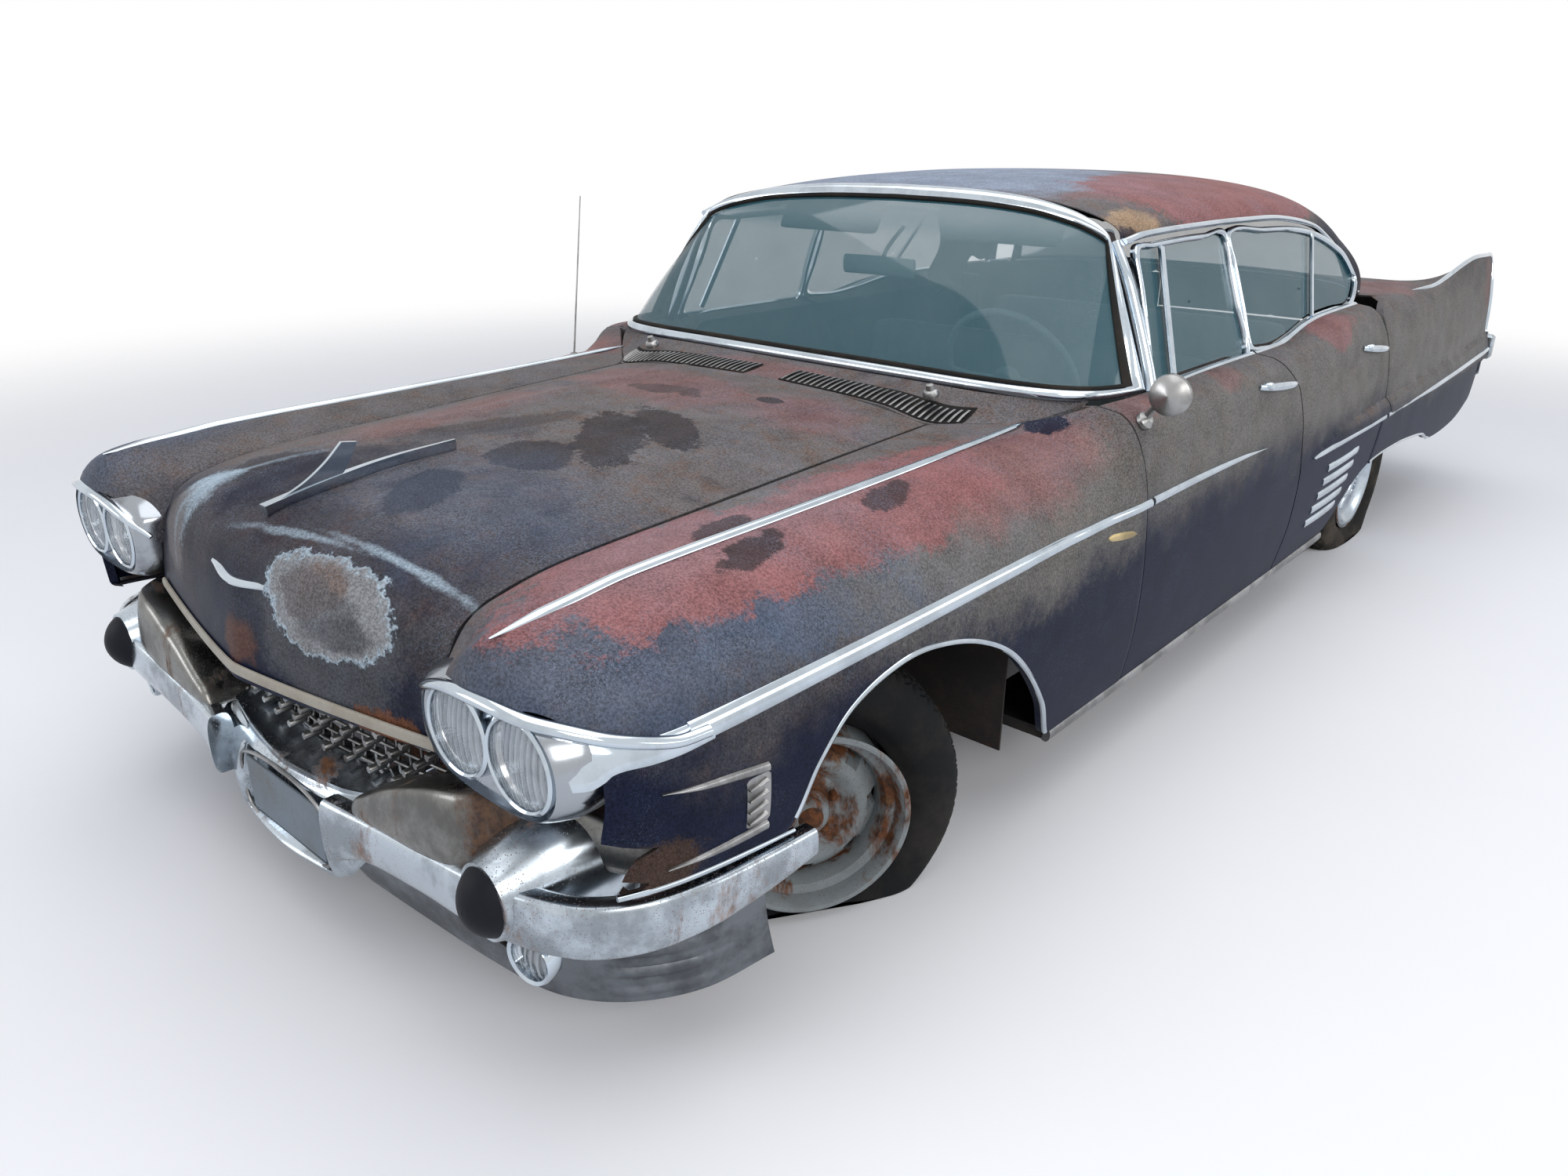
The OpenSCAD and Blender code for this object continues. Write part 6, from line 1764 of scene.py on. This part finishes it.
class SEDAN_OT_cabin(bpy.types.Operator):
    """Seats, dashboard, steering wheel, torn headliner, visors and mirrors"""

    bl_idname = "sedan.cabin"
    bl_label = "Cabin"

    def cushion(self, low, high, lean, pleats, puff=16.0):
        """Padded slab: superellipse section of power 0.5, its face drawn in at seams by a
        rectified sine to 0.45."""
        low, high = np.asarray(low, float), np.asarray(high, float)
        n = 26
        a = turn_of(n)
        x = np.linspace(low[0], high[0], 170)
        mid, half = (low + high) / 2, (high - low) / 2
        end = (1 - np.abs((x - mid[0]) / half[0]) ** 14) ** 0.25
        seam = np.abs(np.sin((x - low[0]) / (high[0] - low[0]) * math.pi * pleats)) ** 0.45
        swell = (0.86 + 0.14 * end)[:, None]
        y = mid[1] + signed_power(np.cos(a), 0.5) * half[1] * swell
        z = mid[2] + signed_power(np.sin(a), 0.5) * half[2] * swell
        face = np.maximum(np.sin(a), 0) if abs(half[2]) < abs(half[1]) else np.maximum(-np.cos(a), 0)
        push = (seam[:, None] - 1) * puff * face
        if abs(half[2]) < abs(half[1]):
            z = z + push
        else:
            y = y - push
        y = y + (z - low[2]) * lean
        return skinned(stack(x[:, None], y, z))

    def wheel(self):
        """Rim as a rod on a circle with 52 finger ribs, two spokes, a half horn ring and a turned
        boss, about Z."""
        a = turn_of(300)
        path = np.column_stack([212 * np.cos(a), 212 * np.sin(a), 0 * a])
        rim = rod(path, 11 - 1.6 * (np.sin(a * 52) > 0.3), 14, loop=True)
        spokes = [rod(along([[sign * 38, -6, -18], [sign * 120, -10, -16], [sign * 206, -4, -4]], 24),
            np.linspace(17, 11, 24), 10, 0.45) for sign in (-1, 1)]
        boss = lathe([[0.5, 6], [22, 4], [38, -6], [42, -26], [34, -40], [14, -41], [14, -41.5],
            [0.5, -42]], 48)
        half = np.linspace(math.pi * 1.02, math.pi * 1.98, 60)
        ring = rod(np.column_stack([130 * np.cos(half), 130 * np.sin(half), 0 * half - 6]), 4.5, 10)
        return [rim, *spokes, boss], [ring]

    def in_column(self, parts):
        """From the column's axes (Z along it, towards the driver) to the car's."""
        c, s = math.cos(COLUMN_TILT), math.sin(COLUMN_TILT)
        basis = np.array([[1.0, 0, 0], [0, -s, c], [0, c, s]])
        return [outward(p @ basis + WHEEL_CENTRE, f) for p, f in parts]

    def headliner(self):
        """Roof's own curve dropped by 26 mm and a squared sine between five bows; three sines tear
        its front edge."""
        u = np.linspace(0.86, -0.86, 150)[None]
        v = np.linspace(0, 1, 130)[:, None]
        torn = 2215 + 60 * np.sin(u * 7) + 34 * np.sin(u * 19 + 1) + 14 * np.sin(u * 47)
        s = mix(torn, 3700 + 0 * u, v)
        base = roof_point(np.broadcast_to(u, s.shape), s)
        frayed = np.exp(-((v - 0.05) / 0.05) ** 2) * (0.5 + 0.5 * np.sin(u * 13 + 0.7))
        sag = 26 + 12 * np.sin(v * math.pi * 5) ** 2 + 30 * frayed
        return base - stack(0 * sag, 0 * sag, sag * np.ones_like(s))

    def rag(self):
        """Hanging strip: its drop, fold and lower edge are sums of sines across its width and down
        its length."""
        w = np.linspace(0, 1, 60)[:, None]
        d = np.linspace(0, 1, 70)[None]
        x = mix(60, 330, w) + 26 * np.sin(d * 5 + w * 4) * d
        z = 1352 - 30 * np.abs(w - 0.5) - (150 + 80 * np.sin(w * 5 + 0.6) + 24 * np.sin(w * 23)) * d
        y = 2240 + 34 * np.sin(w * 9) * d + 60 * d * (1 - d)
        return stack(x, y, z)

    def execute(self, context):
        cabin = context.scene.sedan_cabin
        benches = (("front", ([-655, 2330, 292], [655, 2815, 500], 0.0),
            ([-655, 2835, 480], [655, 2965, 880], 0.12)),
            ("rear", ([-615, 3190, 352], [615, 3640, 498], 0.0),
            ([-615, 3610, 480], [615, 3725, 900], 0.22)))
        for end, *slabs in benches:
            slabs = [self.cushion(*slab, cabin.pleats) for slab in slabs]
            piece(end + "_bench", slabs, "seat_vinyl",
                replaces=[end + "_seat"])
        liner = piece("torn_headliner", [shell(self.headliner(), 2.5)], "headliner_cloth",
            replaces=["headliner"])
        rag = piece("hanging_rag", [shell(self.rag(), 2.0)], "headliner_cloth")
        visors = piece("sun_visors", both([self.cushion([120, 2166, 1262], [500, 2190, 1372], 0.55, 1,
            0.0)]), "visor_vinyl")
        dash = [self.cushion([-770, 1790, 800], [770, 1930, 936], 0.0, 1, 0.0)]
        piece("dash_top", dash, "dash_paint")
        wheel, horn = self.wheel()
        piece("wheel_rim", self.in_column(wheel), "wheel_plastic", "steering_wheel",
            ["steering_wheel"])
        piece("horn_ring", self.in_column(horn), "chrome", "steering_wheel")
        stalk = rod(along([[0, 2160, 1290], [0, 2090, 1240], [0, 2052, 1192]], 20), 6, 8, up=(1, 0, 0))
        glass = rod(along([[-125, 2046, 1187], [0, 2036, 1190], [125, 2046, 1187]], 40), 27, 16, 0.35,
            up=(0, 1, 0))
        piece("inside_mirror", [stalk, glass], "wheel_plastic")
        head = spun([[0.5, -6], [40, -6], [48, 0], [46, 10], [30, 22], [0.5, 27]], 48, [0.15, -1, 0.05],
            [1034, 1775, 1004])
        arm = rod(along([[962, 1822, 930], [985, 1812, 962], [1020, 1790, 990]], 24),
            np.linspace(10, 6, 24), 10, up=(0, 1, 0))
        foot = spun([[0.4, 16], [12, 14], [22, 2], [22, -8], [0.4, -8]], 24, [0.8, 0, 0.6],
            [962, 1822, 926])
        piece("door_mirror", [head, arm, foot], "satin_metal", "front_door_left")
        return {"FINISHED"}


# ---- operators: what stays of the solids, and the stage -----------------------------------------


class SEDAN_OT_solids(bpy.types.Operator):
    """Gives every carried-over solid its material"""

    bl_idname = "sedan.solids"
    bl_label = "Solid parts"

    def execute(self, context):
        chosen = {"floor_pan": "carpet", "inner_fenders": "dark_steel", "tail_panel": "dark_steel",
            "cowl": "paint_cowl", "radiator": "engine_iron", "engine": "engine_iron",
            "roof": "paint_roof", "rear_deck": "paint_deck", "trunk_lid": "paint_deck",
            "hood": "paint_hood", "windshield_frame": "chrome", "fixed_glass": "tinted_glass",
            "grille": "satin_metal", "headlamp_pods": "satin_metal", "dashboard": "dash_paint",
            "steering_wheel": "wheel_plastic", "headliner": "headliner_cloth"}
        for node in ("frame_rails", "exhaust", "fuel_tank", "front_suspension", "knuckle_left",
                "knuckle_right", "rear_axle"):
            chosen[node] = "rusty_iron"
        for side, _ in SIDES:
            chosen.update({"front_fender_" + side: "paint_fender_" + side,
                "quarter_" + side: "paint_quarter_" + side})
            for end, rubber in (("front", "tyre_rubber"), ("rear", "muddy_rubber")):
                chosen.update({
                    f"{end}_door_{side}": f"paint_{end}_door_{side}", f"{end}_glass_{side}": "tinted_glass",
                    f"{end}_wheel_{side}": "rim_steel", f"{end}_tyre_{side}": rubber,
                    end + "_bumper": "chrome_bumper", end + "_seat": "seat_vinyl"})
        for node, material in chosen.items():
            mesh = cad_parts[node].data
            mesh.materials.clear()
            mesh.materials.append(MATERIALS[material])
        return {"FINISHED"}


class SEDAN_OT_stage(bpy.types.Operator):
    """Floor, soft lights and the camera"""

    bl_idname = "sedan.stage"
    bl_label = "Stage"

    def floor(self, radius):
        """Plain disc whose alpha fades out with distance, so it melts into the backdrop."""
        r = np.r_[0.05, np.linspace(1, radius, 24)]
        a = turn_of(96)
        grid = stack(r[:, None] * np.cos(a)[None], r[:, None] * np.sin(a)[None] + 0.1,
            0 * r[:, None] - 0.002)
        mesh = bpy.data.meshes.new("floor")
        mesh.from_pydata(grid.reshape(-1, 3).tolist(), [], quads(25, 96, 0, False, True)[:, ::-1].tolist())
        m = bpy.data.materials.new("floor_grey")
        m.use_nodes = True
        tree, shader = m.node_tree, m.node_tree.nodes["Principled BSDF"]
        shader.inputs["Roughness"].default_value = 0.9
        shader.inputs["Specular IOR Level"].default_value = 0.1
        v = put(tree, "ShaderNodeTexCoord").outputs["Object"]
        far = put(tree, "ShaderNodeVectorMath", {0: v}, operation="LENGTH").outputs["Value"]
        tree.links.new(blend(tree, noise(tree, v, 1.1), (0.89, 0.89, 0.90), (0.93, 0.93, 0.93)),
            shader.inputs["Base Color"])
        tree.links.new(ramp(tree, far, 3.4, 8.5, 1.0, 0.0), shader.inputs["Alpha"])
        mesh.materials.append(m)
        disc = bpy.data.objects.new("floor", mesh)
        bpy.context.scene.collection.objects.link(disc)
        return disc

    def light(self, name, place, target, size, power, tint):
        """Rectangular soft light at a place, aimed at a target."""
        data = bpy.data.lights.new(name, "AREA")
        data.shape, data.energy, data.color = "RECTANGLE", power, tint
        data.size, data.size_y = size
        lamp = bpy.data.objects.new(name, data)
        lamp.location = place
        lamp.rotation_euler = (Vector(target) - Vector(place)).to_track_quat("-Z", "Y").to_euler()
        bpy.context.scene.collection.objects.link(lamp)
        return lamp

    def world(self):
        """White seen by the camera, in glossy and through glass; soft grey for everything else."""
        w = bpy.data.worlds.new("studio")
        bpy.context.scene.world = w
        w.use_nodes = True
        tree = w.node_tree
        back, out = tree.nodes["Background"], tree.nodes["World Output"]
        back.inputs["Color"].default_value = (0.80, 0.86, 1.0, 1)
        back.inputs["Strength"].default_value = 0.42
        white = put(tree, "ShaderNodeBackground", {"Color": (1, 1, 1, 1), "Strength": 1.0})
        path = put(tree, "ShaderNodeLightPath")
        seen = maths(tree, "MAXIMUM", path.outputs["Is Camera Ray"], path.outputs["Is Transmission Ray"])
        seen = maths(tree, "MAXIMUM", seen, path.outputs["Is Glossy Ray"])
        both_ways = put(tree, "ShaderNodeMixShader", {0: seen, 1: back.outputs[0], 2: white.outputs[0]})
        tree.links.new(both_ways.outputs[0], out.inputs["Surface"])

    def execute(self, context):
        s = context.scene.sedan_stage
        context.scene.view_settings.view_transform = "Standard"
        camera = bpy.data.objects.new("camera", bpy.data.cameras.new("camera"))
        context.scene.collection.objects.link(camera)
        camera.data.lens, camera.data.sensor_width = s.lens, 36.0
        camera.data.clip_end = 60
        a, e = s.azimuth, s.elevation
        back = Vector((math.sin(a) * math.cos(e), -math.cos(a) * math.cos(e), math.sin(e)))
        turn = back.to_track_quat("Z", "Y").to_matrix() @ Matrix.Rotation(s.roll, 3, "Z")
        camera.matrix_world = Matrix.Translation(s.position) @ turn.to_4x4()
        context.scene.camera = camera
        self.world()
        lights = [
            self.light("sky_panel", (0.5, -0.5, 6.5), (0, 0, 0), (7.0, 9.0), 275, (1.0, 1.0, 1.0)),
            self.light("key", (6.5, -4.5, 4.2), (0, -0.8, 0.5), (4.5, 3.0), 205, (1.0, 0.98, 0.95)),
            self.light("left_strip", (6.0, 2.5, 2.6), (0.5, 0.5, 0.6), (5.0, 1.6), 75, (0.94, 0.97, 1.0)),
            self.light("front_fill", (-3.5, -7.0, 3.2), (0, -2, 0.5), (4.0, 2.2), 100, (0.95, 0.97, 1.0))]
        self.floor(s.floor_radius)
        return {"FINISHED"}


# ---- registration and the run -------------------------------------------------------------------


class SEDAN_PT_panel(bpy.types.Panel):
    """Settings and build steps in the sidebar"""

    bl_idname = "SEDAN_PT_panel"
    bl_label = "Weathered Sedan"
    bl_space_type = "VIEW_3D"
    bl_region_type = "UI"
    bl_category = "Sedan"

    def draw(self, context):
        for group, cls in SETTINGS.items():
            box = self.layout.box()
            for prop in cls.__annotations__:
                box.prop(getattr(context.scene, group), prop)
        for step in STEPS:
            self.layout.operator(step.bl_idname)


SETTINGS = {
    "sedan_paint": SedanPaintSettings, "sedan_trim": SedanTrimSettings,
    "sedan_cabin": SedanCabinSettings, "sedan_stage": SedanStageSettings}
STEPS = (SEDAN_OT_finishes, SEDAN_OT_panels, SEDAN_OT_doors, SEDAN_OT_trim, SEDAN_OT_glass,
    SEDAN_OT_front, SEDAN_OT_rear, SEDAN_OT_wheels, SEDAN_OT_cabin, SEDAN_OT_solids, SEDAN_OT_stage)


def register():
    for cls in (*SETTINGS.values(), *STEPS, SEDAN_PT_panel):
        bpy.utils.register_class(cls)
    for group, cls in SETTINGS.items():
        setattr(bpy.types.Scene, group, PointerProperty(type=cls))


def unregister():
    for group in SETTINGS:
        delattr(bpy.types.Scene, group)
    for cls in (SEDAN_PT_panel, *reversed(STEPS), *reversed(SETTINGS.values())):
        bpy.utils.unregister_class(cls)


def main():
    register()
    for step in STEPS:
        getattr(bpy.ops.sedan, step.bl_idname.split(".")[1])()


if __name__ == "__main__":
    main()
